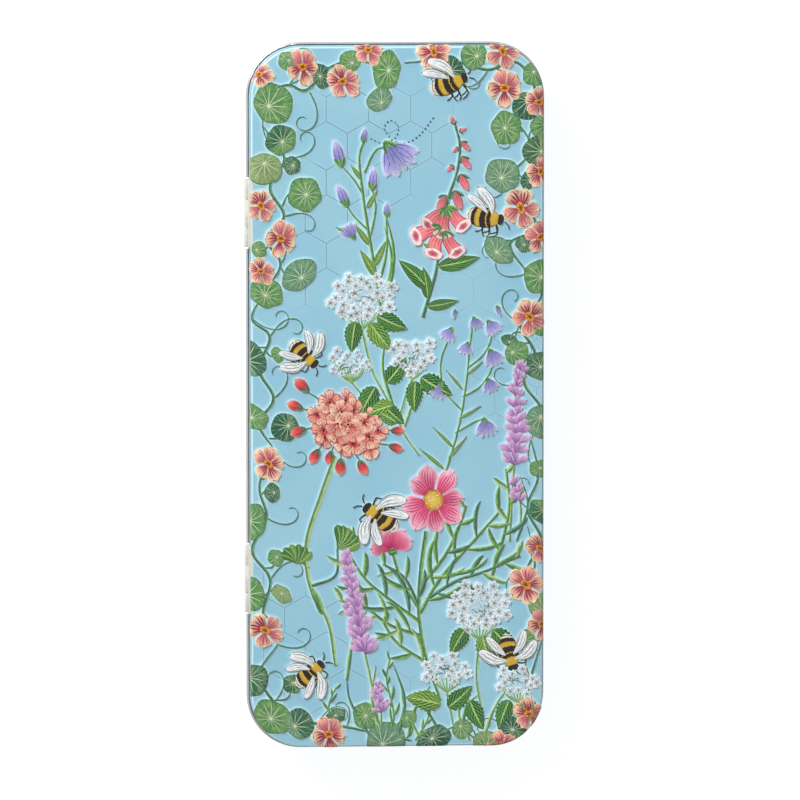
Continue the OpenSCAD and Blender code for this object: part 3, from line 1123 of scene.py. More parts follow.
def lay_border():
    left = smooth_path(LEFT_VINE, 300).tolist()
    right = smooth_path(RIGHT_VINE, 280).tolist()
    for path in (LEFT_VINE, RIGHT_VINE):
        for first in range(0, len(path) - 1, 6):
            part = path[first:first + 7]
            if len(part) > 1:
                stem("vines", part, 0.85, 0.1, shape="strap")
    for k, (x, y, radius, tone, dark) in enumerate(LEAVES):
        path = left if x < 0 or (x < 4 and y < 0) else right
        root = nearest(path, x, y, radius)
        stalk("vines", root, (x, y), bow=rng.choice((-0.3, 0.3)), wide=0.55)
        away = math.degrees(math.atan2(y - root[1], x - root[0]))
        add(
            "vine_leaves_left" if x < 0 else "vine_leaves_right",
            copy_of(
                vine_leaves[k % 4], x, y, away + 180 + rng.uniform(-60, 60), radius * 1.04,
                rng.uniform(0.66, 1.0), lift=0.01 * (k % 5),
                tint=(rng.random(), tone, 0.8 if dark else 0.2),
            ),
        )
    for k, (x, y, radius, turn) in enumerate(FLOWERS):
        path = left if x < 0 else right
        stalk("vines", nearest(path, x, y, radius), (x, y), bow=rng.choice((-0.35, 0.35)), wide=0.6)
        add("vine_flowers", copy_of(
            vine_flowers[k % 4], x, y, turn, radius * 1.12, rng.uniform(0.8, 1.0),
            lift=0.03 + 0.01 * (k % 2), tint=(None, None, rng.random()),
        ))
    curls = [
        (-30, 86, 20, 22, 1), (-24, 84, -60, 20, -1), (-37, 75, -80, 16, 1), (-31, 66, 0, 18, 1),
        (-31, 50, 20, 14, -1), (-32, 37, 60, 12, 1), (-40, 22, -40, 18, 1), (-35, 17, 60, 16, -1),
        (-34, 0, 40, 15, 1), (-34, -14, -60, 16, 1), (-36, -33, -30, 14, 1), (-35, -50, 60, 16, -1),
        (-33, -68, -20, 16, 1), (-34, -84, 50, 14, 1), (-22, -90, 60, 14, -1), (-14, -91, 70, 10, 1),
        (18, 92, -100, 12, 1), (25, 90, -120, 14, -1), (33, 76, 200, 14, 1), (31, 60, 250, 12, -1),
        (31, 42, 160, 12, 1), (36, 34, 200, 16, -1), (34, 20, 150, 18, -1), (34, 20, 240, 15, 1),
        (38, 12, 200, 12, 1), (35, 4, 200, 14, -1), (37, -12, 250, 12, 1), (36, -31, 140, 14, -1),
        (36, -48, 190, 12, 1), (37, -78, 120, 12, -1), (31, -94, 120, 16, 1), (10, 92.5, -110, 10, 1),
        (-18, 91, 200, 10, -1),
    ]
    for x, y, heading, length, hand in curls:
        stem(
            "vines", curl(x, y, heading, length, 2, 42, hand), 0.42, 0.1, shape="tendril", high=0.05,
            lift=0.215,
        )


def lay_umbel(piece, x, y, wide, tall, count, size, rays=9, bare=False):
    """A flat head of small white flowers on a fan of rays"""
    root = (x + 0.3, y - tall * 1.5)
    for k in range(rays):
        a = math.radians(200 + 140 * k / (rays - 1))
        end = (x + wide * 0.75 * math.cos(a), y + tall * (0.1 if bare else 0.35) * math.sin(a))
        stalk(piece, root, end, bow=0.12 * math.cos(a), wide=0.42, tone=0.45)
    bed = disc(1.0, "floret_bed", sides=24, rings=3, outline=lobes(7, 0.09), lift=0.21, high=0.07)
    spread = 0.5 if bare else 0.72
    stretch = Matrix.Diagonal((wide * spread, tall * spread, 1, 1))
    bed.data.transform(Matrix.Translation((x, y + tall * 0.1, 0)) @ stretch)
    add(piece, bed)
    for k in range(count):
        out = math.sqrt((k + 1.5) / (count + 1))
        a = k * GOLDEN_TURN
        px = x + wide * out * math.cos(a) + rng.uniform(-0.6, 0.6)
        py = y + tall * out * math.sin(a) + rng.uniform(-0.6, 0.6)
        turn = rng.uniform(0, 72)
        grown = size * rng.uniform(0.8, 1.15) * (0.75 + 0.3 * out)
        add(piece, copy_of(floret, px, py, turn, grown, lift=0.012 * (k % 4), tint=own_tint(None)))
    for k in range(6):
        a = k * 1.1
        px = x + wide * 0.2 * math.cos(a) + rng.uniform(-1, 1)
        py = y + tall * 0.2 * math.sin(a) + rng.uniform(-0.7, 0.7)
        thread = curl(px, py, rng.uniform(0, 360), 2.6, 20, 80, rng.choice((-1, 1)))
        stem(piece, thread, 0.24, 0.05, shape="tendril", high=0.04, lift=0.38)


def toothed(piece, x, y, turn, length, tone=0.0, wide=1.0, kind="tooth", lift=0.0):
    add(piece, copy_of(small[kind], x, y, turn, length, wide, lift=lift, tint=own_tint(tone)))


def lay_umbels():
    heads = [
        (-10, 28, 9, 6.2, 30, 1.65), (4, 11.5, 6.4, 4.4, 17, 1.55), (22.5, -58, 9, 6.4, 30, 1.65),
        (13.5, -75.5, 6.6, 4.2, 15, 1.5), (33, -79, 6.4, 4, 15, 1.5),
    ]
    for x, y, wide, tall, count, size in heads:
        lay_umbel("white_umbels", x, y, wide, tall, count, size)
    lay_umbel("white_umbels", -13, 9.5, 6, 3.6, 15, 1.15, rays=11, bare=True)
    stem("white_umbels", [(-9.7, 19), (-7, 8), (-3, 0), (1, -8)], 0.75, 0.45)
    stem("white_umbels", [(4.3, 5), (2, -1), (1, -8), (6, -16)], 0.75, 0.45)
    stem("white_umbels", [(-12.7, 4.5), (-8, -0.5), (-1, -3)], 0.6, 0.45)
    stem("white_umbels", [(22.8, -67.5), (22, -78), (24, -90)], 0.75, 0.45)
    stem("white_umbels", [(13.8, -82), (15, -88), (16, -93)], 0.7, 0.45)
    stem("white_umbels", [(33.3, -85), (32, -90), (30, -94)], 0.7, 0.45)
    for x, y, turn, length, tone in [
        (-11.5, 21, 172, 8.5, 0), (-7.5, 20.5, 218, 9.5, 0.6), (-5.5, 22.5, 246, 9, 0),
        (-6, 3, 152, 9.5, 0), (-3, 4, 322, 9, 0), (-1, -2, 110, 9, 0.6), (-4, -2, 228, 8, 0),
        (5, 4.5, 178, 8.5, 0), (6.5, 5.5, 240, 10, 0), (0, -7, 60, 7, 0.6),
        (19, -64, 150, 8.5, 0), (23.5, -66, 196, 9, 0.6), (26.5, -64.5, 226, 9.5, 0),
        (12, -85, 78, 10, 0.6), (14, -86, -48, 9, 0), (20, -84, 205, 9, 0),
        (31, -84, 160, 8.5, 0), (34, -84, 226, 9, 0.6),
    ]:
        toothed("green_leaves", x, y, turn, length, tone, lift=0.01 * rng.randrange(4))


def lay_bellflower():
    stem("bellflower", [(-4, 20), (-6, 34), (-8, 46), (-9.5, 56), (-10.5, 66), (-9, 71)], 0.95, 0.3)
    stem("bellflower", [(-9.5, 56), (-12, 60), (-15.5, 64)], 0.6, 0.3)
    stem("bellflower", [(-7.5, 44), (-6, 52), (-7, 58)], 0.6, 0.3)
    stem("bellflower", [(-8, 46), (-12, 50), (-14, 53)], 0.6, 0.3)
    stem("bellflower", [(-9, 62), (-6, 68), (-2, 69)], 0.65, 0.3)
    stem("bellflower", [(-5.5, 30), (-3, 40), (-3, 50)], 0.8, 0.3)
    for x, y, turn, size in [
        (-15.5, 64, 15, 7.4), (-14, 53, 25, 6.4), (-7, 57.5, -5, 6.2), (-9.5, 70.5, -10, 4), (-3, 50, 0, 4),
    ]:
        add("bellflower", copy_of(bell_bud, x, y, turn, size, tint=(rng.random(), None, None)))
    add("bellflower", copy_of(open_bell, -3, 70, 218, 9.4), copy_of(open_bell, -12, 44, 30, 4.4))
    for x, y, turn, size in [
        (-7.8, 42, 35, 7), (-6.5, 36, -25, 8), (-8.5, 52, -30, 6), (-10, 60, 35, 5), (-13.5, 45, 60, 4),
        (-5.8, 33, 30, 9),
    ]:
        toothed("bellflower", x, y, turn, size, 0.6, 0.8, "leaf")
    stem("bellflower", [(-3, 28), (-1.5, 38), (-3.5, 47)], 1.3, 0.35, shape="grass")


def lay_foxglove():
    stem(
        "foxglove", [(7, 22), (10.5, 34), (12, 44), (13.8, 54), (16.4, 62), (17.2, 69), (15.8, 75.5)], 1.0,
        0.1,
    )
    heights = [
        (15.6, 75, 20, 2.6), (17, 73, -60, 2.2), (17.6, 70.5, 222, 3.6), (17.8, 66.4, 212, 4.4),
        (17.4, 61.5, 204, 5.2), (15.8, 57, 198, 5.8), (15.6, 63.8, 130, 2.6), (17, 68.6, 120, 2.2),
        (13.6, 55.6, 150, 5.2),
    ]
    for k, (x, y, turn, size) in enumerate(heights):
        add("foxglove", copy_of(
            small["fox_bud"], x, y, turn, size, 0.85, lift=0.01 * (k % 3), tint=own_tint(None),
        ))
        for side in (-45, 40):
            add("foxglove", copy_of(
                small["green_bud"], x, y, turn + side, size * 0.5, 0.9, lift=0.04,
                tint=(rng.random(), 0.1, None),
            ))
    for k, (x, y, turn, size) in enumerate([
        (13.6, 51.5, 128, 7.4), (14.2, 52.2, 218, 7.2), (13.4, 51.5, 172, 7.4), (11.8, 46.5, 108, 7.8),
        (13, 45.5, 212, 7.4), (12.2, 46, 160, 7.6),
    ]):
        add("foxglove", copy_of(
            foxglove_tube, x, y, turn, size, 1.15, lift=0.01 * (k % 5), tint=own_tint(None),
        ))
    for x, y, turn, length, tone in [
        (9, 29.5, 46, 12, 0), (8, 25, -80, 9, 0), (11, 36, -78, 12, 0), (12, 39, 56, 6, 0.6),
        (8.4, 27, 8, 9, 0),
    ]:
        toothed("green_leaves", x, y, turn, length, tone, 1.15, "leaf")


def lay_harebells():
    stem("harebells", [(13, -22), (17, -8), (19, 4), (20, 14), (21, 22)], 0.6, 0.3)
    stem("harebells", [(18, -4), (13, 2), (12, 10), (15, 18)], 0.5, 0.3)
    stem("harebells", [(19.5, 8), (24, 12), (26, 17), (25, 21)], 0.5, 0.3)
    stem("harebells", [(18, 0), (23, 3), (26, 8), (25.5, 12)], 0.5, 0.3)
    stem("harebells", [(16, -10), (21, -7), (24, -6)], 0.5, 0.3)
    for x, y, turn, size in [
        (15, 19, 150, 4), (21, 22, 200, 3.4), (25, 21, 215, 4.4), (25.5, 13, 205, 4.8), (24, -6, 190, 5.2),
        (12, 4, 165, 4.6), (19.5, 15, 160, 3.6), (25, 5, 200, 4),
    ]:
        add("harebells", copy_of(open_bell, x, y, turn, size, 0.95, tint=(rng.random(), None, None)))
    for x, y, turn, size in [(27.5, 25, 200, 3), (16, 24, 170, 2.6)]:
        add("harebells", copy_of(bell_bud, x, y, turn, size))
    for x, y, turn, size in [
        (18, 2, 40, 7), (17, -6, -60, 7), (15.5, -14, 45, 8), (19, 6, -50, 6), (13, -20, 50, 9),
        (14, -17, -40, 8),
    ]:
        toothed("harebells", x, y, turn, size, 0.6, 0.4, "leaf")


def lay_geranium():
    middle_x, middle_y, florets = -14, -9.5, 19
    stem("geranium", [(-17, -16), (-21, -27), (-25, -40), (-24, -52), (-19, -62), (-17, -74)], 1.3, 0.5)
    for px, py, turn, size in [
        (-24.5, 1.5, 45, 5.4), (-26, -3, 70, 4.8), (-25, -8.5, 108, 5), (-21.5, -14, 150, 4.8),
        (-15.5, -16.5, 178, 5), (-18, -14.5, 160, 4), (-10.5, -17, 205, 4.8), (-2.5, -13, 250, 4.4),
        (-2, -9, 270, 4),
    ]:
        add("geranium", copy_of(small["red_bud"], px, py, turn, size, 1.35, lift=0.02, tint=own_tint(None)))
        for side in (-24, 24):
            add("geranium", copy_of(
                small["green_bud"], px, py, turn + side, size * 0.45, 1.1, lift=0.05,
                tint=(rng.random(), 0.1, None),
            ))
        stalk("geranium", ((px - 14) / 2, (py - 9) / 2), (px, py), 0.1, 0.55, 0.1)
    for k in range(florets):
        spot = florets - 1 - k
        out = math.sqrt((spot + 0.2) / florets)
        a = spot * GOLDEN_TURN + 0.9
        px = middle_x + 9.4 * out * math.cos(a) + rng.uniform(-0.6, 0.6)
        py = middle_y + 2.2 + 7.6 * out * math.sin(a) - 2.4 * out * math.cos(a) + rng.uniform(-0.5, 0.5)
        turn = rng.uniform(0, 72)
        size = (4.7 - 1.3 * out) * rng.uniform(0.92, 1.1)
        add("geranium", copy_of(
            geranium_florets[k % 4], px, py, turn, size, rng.uniform(0.7, 1), lift=0.006 * k,
            tint=own_tint(None),
        ))
    for k, turn in enumerate((-70, -44, -20, 6, 30, 54)):
        for x, y, base, size, spread in ((-28, -45.5, 12, 5.4, 0.95), (-16.5, -41.5, -32, 6.6, 0.62)):
            path = turned([(0, 0), (0.1, 0.5), (0, 1)], x, y, base + turn * spread, size)
            add("geranium", blade(
                path, size * 0.42, "spoon", "blade_leaf",
                lift=0.22 + 0.01 * (k % 3), across=4, along=9, tint=own_tint(0.0 if k % 3 else 0.6),
            ))
    stalk("geranium", (-24.5, -47), (-28, -45.5), 0.2, 0.9, 0.1)
    stalk("geranium", (-24, -52), (-16.5, -41.5), 0.3, 0.9, 0.1)
    stem("geranium", [(-24, -52), (-22, -56), (-20.5, -60)], 1.9, 0.25, shape="strap")


def lay_fronds(piece, points, count, length, tone, wide=1.4, angle=54):
    """Feathery foliage: slender leaves to both sides of a stem, from near its root to near its tip"""
    first, last = 0.12, 0.97
    path = smooth_path(points, 60)
    stem(piece, points, wide * 0.75, tone)
    for k in range(count):
        t = first + (last - first) * k / max(1, count - 1)
        i = min(59, int(t * 60))
        heading = math.degrees(math.atan2(*(path[i + 1] - path[i])[::-1]))
        hand = 1 if k % 2 else -1
        reach = length * (1 - 0.5 * t) * rng.uniform(0.75, 1.2)
        arc = curl(*path[i], heading + hand * angle, reach, 2, 8, -hand)
        add(piece, blade(
            arc, wide * rng.uniform(0.8, 1.1), "slim", "stem", lift=0.22 + 0.01 * (k % 3), high=0.09,
            tint=(rng.random(), rng.choice((0.05, 0.25, 0.25, 0.45, tone)), rng.random()),
        ))


def lay_cosmos():
    stem("cosmos", [(8, -37), (6.5, -48), (6, -60), (8, -72), (12, -84)], 1.15, 0.3)
    stem("cosmos", [(-1.5, -42), (1, -50), (5.5, -58)], 0.9, 0.3)
    add("cosmos", copy_of(half_cosmos, -1.5, -42, 10), copy_of(cosmos, 10, -28.5, 8, 0.98, 0.95, lift=0.01))
    fronds = [
        ([(6, -60), (12, -50), (20, -41), (29, -31)], 8, 15),
        ([(6.5, -52), (13, -44), (17, -36), (19, -30)], 6, 11),
        ([(6, -62), (-2, -56), (-9, -50), (-14, -42)], 7, 14),
        ([(6.5, -66), (-2, -63), (-9, -58), (-16, -56)], 7, 11),
        ([(8, -56), (16, -51), (25, -48), (34, -44)], 8, 12), ([(6, -58), (2, -50), (-4, -46)], 5, 10),
        ([(9, -74), (0, -68), (-4, -62)], 5, 10), ([(26, -50), (29, -40), (31, -30), (30, -20)], 7, 9),
    ]
    for points, count, length in fronds:
        lay_fronds("fronds", points, count, length, tone=rng.choice((0.25, 0.05, 0.25)))


def lay_spire(points, whorls, size):
    """A lavender spike: whorls of six florets that open wider and grow towards its foot"""
    spread = (-66, 66, -40, 40, -14, 14)
    path = smooth_path(points, 60)
    stem("lavender", points, 0.7, 0.45)
    for k in range(whorls * len(spread)):
        t = (k // len(spread)) / whorls
        i = min(59, int(60 - t * 36))
        heading = math.degrees(math.atan2(*(path[i + 1] - path[i])[::-1])) - 90
        angle = spread[k % len(spread)] * (0.75 + 0.25 * t) + rng.uniform(-9, 9)
        along = math.radians(heading + 90)
        slip = rng.uniform(-0.7, 0.7)
        px = path[i][0] + slip * math.cos(along)
        py = path[i][1] + slip * math.sin(along)
        grown = size * (0.62 + 0.5 * t) * rng.uniform(0.7, 1.2)
        add("lavender", copy_of(
            small["lavender"], px, py, heading + angle, grown, lift=0.012 * (k % len(spread)),
            tint=(rng.random(), rng.random(), rng.random()),
        ))


def lay_lavender():
    lay_spire([(31, -40), (32, -22), (33, -10), (32.5, 0), (34, 8)], 11, 4.2)
    lay_spire([(-5, -92), (-7, -80), (-10, -66), (-12, -56), (-14, -44)], 12, 4.4)
    lay_spire([(-5, -95), (-4.5, -88), (-5.5, -80)], 4, 3.2)
    lay_spire([(34, -36), (34, -30), (32.5, -24)], 3, 3.2)


def lay_grasses():
    blades = [
        ([(-14, -78), (-12, -66), (-8, -58)], 1.1), ([(-4, -94), (-7, -84), (-6, -74)], 1.4),
        ([(0, -95), (2, -84), (-1, -74)], 1.3), ([(3, -94), (5, -86), (9, -80)], 1.2),
        ([(6, -94), (2, -86), (1, -80)], 1.0), ([(-8, -93), (-13, -84), (-14, -78)], 1.1),
        ([(18, -94), (19, -86), (23, -82)], 1.2), ([(20, -95), (17, -88), (18, -82)], 1.0),
        ([(13, -95), (9, -88), (6, -84)], 1.1), ([(-2, 30), (-1, 40), (-3, 50)], 1.2),
        ([(24, -94), (27, -86), (31, -80)], 1.1), ([(36, -55), (38, -46), (36, -36)], 0.8),
        ([(-1, -3), (-4, 8), (-3, 18)], 1.0), ([(2, -8), (5, 0), (9, 6)], 0.9),
        ([(33, -40), (36, -30), (34, -22)], 0.9),
    ]
    for k, (points, wide) in enumerate(blades):
        stem("grasses", points, wide, (0.25, 0.45, 0.05)[k % 3], shape="grass", high=0.1, lift=0.22)
    for points, count, length in [
        ([(-3, -95), (-1, -88), (-3, -78), (-2, -72)], 10, 5),
        ([(-16, -94), (-19, -86), (-17, -80)], 7, 4.5), ([(5, -95), (8, -90), (10, -84)], 6, 4),
    ]:
        lay_fronds("grasses", points, count, length, tone=0.25, wide=0.8, angle=30)


def lay_bees():
    spots = [
        (14.5, 86.5, -70, 1.22, 1, 0), (24.5, 49.5, -100, 1.2, 1, 0), (-25.5, 12, 226, 1.12, 0, 0),
        (-5, -33, 52, 1.28, 0, 0.04), (-24, -76, -50, 1.12, 0, 0), (31, -71, 196, 1.22, 0, 0),
    ]
    for x, y, turn, size, side, lift in spots:
        add("bees", copy_of(bees[side], x, y, turn, size, lift=lift, tint=(rng.random(), None, None)))
    trail = [
        (10, 77), (6, 72), (2, 70), (-1.5, 71), (-3.6, 74), (-2, 76.2), (0.2, 74.6), (-0.5, 71.5), (-4, 70),
        (-8, 71.5),
    ]
    path = smooth_path(trail, 60)
    for k in range(0, 60, 2):
        dash = [tuple(path[k]), tuple(path[k + 1])]
        add("bees", blade(dash, 0.26, "strap", "bee_dark", lift=0.16, high=0.04, along=4))


lay_border()
lay_umbels()
lay_bellflower()
lay_foxglove()
lay_harebells()
lay_geranium()
lay_cosmos()
lay_lavender()
lay_grasses()
lay_bees()
for made in masters:
    bpy.data.objects.remove(made)


# ---------------------------------------------------------------- from the flat layout to the tin

def onto_lid(points):
    """Carries a flat layout onto the lid: flat on the top, bent over the shoulder and on down the skirt"""
    x, y, rise = points.T
    inner_x = np.clip(x, -(FLAT_X - FLAT_R), FLAT_X - FLAT_R)
    inner_y = np.clip(y, -(FLAT_Y - FLAT_R), FLAT_Y - FLAT_R)
    away = np.stack([x - inner_x, y - inner_y], axis=1)
    far = np.maximum(np.hypot(*away.T), 1e-9)
    normal = away / far[:, None]
    over = far - FLAT_R
    rise = rise * (0.34 + 0.66 * np.clip(-over / EDGE_FALL, 0, 1))
    quarter = SHOULDER_R * math.pi / 2
    bend = np.clip(over, 0, quarter) / SHOULDER_R
    foot = np.stack([inner_x, inner_y], axis=1) + normal * FLAT_R
    out = (SHOULDER_R + rise) * np.sin(bend)
    bent = foot + normal * out[:, None]
    height = TOP - SHOULDER_R + (SHOULDER_R + rise) * np.cos(bend) - np.maximum(over - quarter, 0)
    on_top = over <= 0
    bent[on_top] = np.stack([x, y], axis=1)[on_top]
    height[on_top] = (TOP + rise)[on_top]
    return np.column_stack([bent, height])


def pick_faces(obj, wanted):
    bpy.context.tool_settings.mesh_select_mode = (False, False, True)
    for part in (obj.data.vertices, obj.data.edges):
        part.foreach_set("select", np.zeros(len(part), bool))
    for face in obj.data.polygons:
        face.select = wanted(face)


def outside(x, y, half_x, half_y, radius):
    """How far a point is outside a rounded rectangle, in millimetres"""
    ax = max(abs(x) - (half_x - radius), 0)
    ay = max(abs(y) - (half_y - radius), 0)
    return math.hypot(ax, ay) - radius if ax and ay else max(abs(x) - half_x, abs(y) - half_y)


def refine_edge(obj):
    """Splits the faces close to the lid's edge so that they follow its bend"""
    band = EDGE_FALL + 0.2
    pick_faces(obj, lambda f: outside(f.center.x, f.center.y, FLAT_X, FLAT_Y, FLAT_R) > -band)
    bpy.ops.object.mode_set(mode="EDIT")
    bpy.ops.mesh.subdivide(number_cuts=2)
    bpy.ops.object.mode_set(mode="OBJECT")


def finish_raised(name, parts):
    """Joins a piece's shapes, carries them onto the lid and gives them a thin sheet's thickness"""
    obj = join(name, parts)
    refine_edge(obj)
    points = onto_lid(read_points(obj.data) * (1, 1, 0.94) + (0, 0, 0.08))
    write_points(obj.data, points * MM)
    solid = obj.modifiers.new("sheet", "SOLIDIFY")
    solid.thickness = 0.2 * MM
    solid.offset = -1
    bpy.ops.object.modifier_apply(modifier="sheet")
    points = read_points(obj.data)
    points[:, 2] = np.minimum(points[:, 2], (TOP + HIGHEST) * MM)
    write_points(obj.data, points)
    bpy.ops.object.shade_smooth_by_angle(angle=math.radians(50))
    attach(obj, "lid")
    return obj


raised = [finish_raised(name, parts) for name, parts in pieces.items()]


# Spacing and half size of the height maps laid over the lid's top
MAP_STEP = 0.25
MAP_X = 41.0
MAP_Y = 97.5


def raised_map():
    """Where the raised shapes stand on the lid's top, softened into a mask of 0 to 1"""
    above = 2.0
    trees = []
    for obj in raised:
        mesh = obj.data
        faces = [face.vertices[:] for face in mesh.polygons]
        trees.append(BVHTree.FromPolygons([v.co[:] for v in mesh.vertices], faces))
    nx = int(2 * MAP_X / MAP_STEP) + 1
    ny = int(2 * MAP_Y / MAP_STEP) + 1
    mask = np.zeros((nx, ny))
    down = Vector((0, 0, -1))
    for i in range(nx):
        for j in range(ny):
            start = Vector(((i * MAP_STEP - MAP_X) * MM, (j * MAP_STEP - MAP_Y) * MM, (TOP + above) * MM))
            for tree in trees:
                if tree.ray_cast(start, down, (above - 0.1) * MM)[0] is not None:
                    mask[i, j] = 1
                    break
    return mask


def soften(mask, spread):
    """Blurs a map by a bell curve of that spread in millimetres"""
    reach = int(3 * spread / MAP_STEP) + 1
    bell = np.exp(-0.5 * (np.arange(-reach, reach + 1) * MAP_STEP / spread) ** 2)
    bell /= bell.sum()
    for axis in (0, 1):
        mask = np.apply_along_axis(lambda row: np.convolve(row, bell, "same"), axis, mask)
    return mask


def sample(field, x, y):
    """A map's value at each point, between its four nearest cells"""
    u = np.clip((x + MAP_X) / MAP_STEP, 0, field.shape[0] - 1.001)
    v = np.clip((y + MAP_Y) / MAP_STEP, 0, field.shape[1] - 1.001)
    i, j = u.astype(int), v.astype(int)
    a, b = u - i, v - j
    return (
        field[i, j] * (1 - a) * (1 - b) + field[i + 1, j] * a * (1 - b)
        + field[i, j + 1] * (1 - a) * b + field[i + 1, j + 1] * a * b
    )


stands = raised_map()
# How closely the raised shapes stand, softened; the print's pale glow round them is read from it, partly a
# printed glow and partly a painted highlight of the embossed slopes
halo_field = soften(stands, 0.5)
rise_field = soften(stands, 0.38)


# ---------------------------------------------------------------- the tin itself

def ground_paint():
    """Sky-blue lacquer with a faint honeycomb, paler round the raised shapes (a glow that is partly printed
    and partly a painted highlight of the embossing), with a painted shadow line and a painted highlight line
    along the lid's shoulder
    """
    p = Paint("sky_blue_print", roughness=0.36, coat=0.35)
    place = p.object_place()
    halo = p.carried("halo")["Fac"]
    comb = p.carried("comb")["Fac"]
    broad = p.noise(place, 45.0, 2.0)
    colour = p.mix(p.step(broad, 0.3, 0.7), ink(148, 200, 221), ink(156, 206, 224))
    axes = p.node("SeparateXYZ", {"Vector": place}).outputs
    lines = p.group("honeycomb", X=p.math("ADD", axes["X"], 0.0021), Y=p.math("ADD", axes["Y"], 0.001))
    colour = p.over(colour, p.math("MULTIPLY", lines["Side"], comb), 0.35, ink(186, 222, 232))
    colour = p.over(colour, p.math("MULTIPLY", lines["Mask"], comb), 0.75, ink(104, 150, 172))
    # Pale glow round the raised shapes: partly the print's own glow, partly a painted highlight standing in
    # for light on the embossed slopes
    colour = p.over(colour, p.step(halo, 0.04, 0.5), 0.8, ink(198, 236, 246))
    # Painted shade and light on the lid's shoulder: a painted shadow line low on the shoulder and a painted
    # highlight line along its top edge; the attribute is 1 on the lid and 0 on the base
    shoulder_painted_light = p.carried("shoulder_painted_light")["Fac"]
    painted_shadow_line = p.band(axes["Z"], (0.0176, 0.0191), (0.0193, 0.0197))
    colour = p.over(colour, p.math("MULTIPLY", painted_shadow_line, shoulder_painted_light), 0.8, ink(52, 88, 98))
    painted_highlight_line = p.band(axes["Z"], (0.0197, 0.01985), (0.01996, 0.02))
    colour = p.over(colour, p.math("MULTIPLY", painted_highlight_line, shoulder_painted_light), 0.7, ink(214, 246, 252))
    near_hinge = p.math(
        "LESS_THAN", p.distance(p.math("ABSOLUTE", axes["Y"]), HINGE_Y * MM), HINGE_PATCH * MM,
    )
    beside_top = p.math("LESS_THAN", axes["X"], -(FLAT_X + 0.05) * MM)
    patch = p.math("MULTIPLY", near_hinge, beside_top)
    colour = p.mix(patch, colour, ink(206, 209, 198))
    return p.finish(colour, mottle=0.03, dots=0.05, relief=0.008)


def tinplate_paint():
    p = Paint("bare_tinplate", roughness=0.3, coat=0.0)
    p.shader.inputs["Metallic"].default_value = 0.5
    place = p.object_place()
    stretched = p.node("Mapping", {"Vector": place, "Scale": (1.0, 0.08, 1.0)}).outputs["Vector"]
    grain = p.noise(stretched, 4200.0, 3.0, 0.6)
    colour = p.mix(grain, ink(206, 206, 202), ink(232, 231, 228))
    p.put(p.shader.inputs["Roughness"], p.span(p.noise(place, 260.0, 3.0), 0.22, 0.42))
    return p.finish(colour, mottle=0.06, dots=0.06, relief=0.01)


def enamel_paint():
    p = Paint("cream_enamel", roughness=0.4, coat=0.4)
    place = p.object_place()
    mottle = p.step(p.noise(place, 520.0, 4.0, 0.65), 0.35, 0.7)
    colour = p.mix(mottle, ink(216, 218, 208), ink(198, 201, 190))
    worn = p.step(p.noise(place, 1500.0, 2.0, 0.6), 0.66, 0.76)
    colour = p.over(colour, worn, 0.3, ink(178, 180, 170))
    return p.finish(colour, mottle=0.06, dots=0.04, relief=0.02)


def pin_paint():
    p = Paint("drawn_wire", roughness=0.28, coat=0.0)
    p.shader.inputs["Metallic"].default_value = 1.0
    stretched = p.node("Mapping", {"Vector": p.object_place(), "Scale": (1.0, 0.04, 1.0)}).outputs["Vector"]
    colour = p.mix(p.noise(stretched, 9000.0, 3.0, 0.6), ink(176, 178, 178), ink(214, 215, 214))
    return p.finish(colour, mottle=0.05, dots=0.05, relief=0.01)


printed = ground_paint()
tinplate = tinplate_paint()


def skin_of(node, name):
    """A merged copy of a CAD node's mesh"""
    obj = bpy.data.objects.new(name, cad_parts[node].data.copy())
    bpy.context.scene.collection.objects.link(obj)
    deselect()
    obj.select_set(True)
    bpy.context.view_layer.objects.active = obj
    obj.data.materials.clear()
    bpy.ops.object.mode_set(mode="EDIT")
    bpy.ops.mesh.select_all(action="SELECT")
    bpy.ops.mesh.remove_doubles(threshold=0.002 * MM)
    bpy.ops.object.mode_set(mode="OBJECT")
    return obj


def open_panel(obj):
    """Cuts the flat panel out of the lid, its top and its underside"""
    pick_faces(obj, lambda f: abs(f.normal.z) > 0.999 and f.center.z > (TOP - SHEET - 0.02) * MM)
    bpy.ops.object.mode_set(mode="EDIT")
    bpy.ops.mesh.delete(type="FACE")
    bpy.ops.object.mode_set(mode="OBJECT")


def emboss_panel():
    """The lid's flat panel as a fine grid, pressed up round the raised shapes, with its thickness"""
    overlap = 0.04
    reach_x, reach_y, reach_r = FLAT_X + overlap, FLAT_Y + overlap, FLAT_R + overlap
    deselect()
    bpy.ops.mesh.primitive_grid_add(x_subdivisions=132, y_subdivisions=320, size=2, calc_uvs=False)
    panel = bpy.context.object
    points = read_points(panel.data) * (reach_x, reach_y, 1)
    write_points(panel.data, points * MM)
    far = np.array([outside(*point[:2], reach_x, reach_y, reach_r) for point in points])
    pick_faces(panel, lambda f: all(far[i] > 0.001 for i in f.vertices))
    bpy.ops.object.mode_set(mode="EDIT")
    bpy.ops.mesh.delete(type="FACE")
    bpy.ops.object.mode_set(mode="OBJECT")
    points = read_points(panel.data) / MM
    core = np.array((reach_x - reach_r, reach_y - reach_r))
    middle = np.clip(points[:, :2], -core, core)
    away = points[:, :2] - middle
    length = np.maximum(np.hypot(*away.T), 1e-9)
    pull = np.minimum(1, reach_r / length)
    points[:, :2] = middle + away * pull[:, None]
    inset = np.clip((reach_r - length * pull) / EDGE_FALL, 0, 1)
    lift = np.clip(sample(rise_field, *points.T[:2]) * 1.5, 0, 1)
    points[:, 2] = TOP + lift * lift * (3 - 2 * lift) * PLATEAU * inset
    write_points(panel.data, points * MM)
    sheet = panel.modifiers.new("sheet", "SOLIDIFY")
    sheet.thickness = SHEET * MM
    sheet.offset = -1
    bpy.ops.object.modifier_apply(modifier="sheet")
    return panel


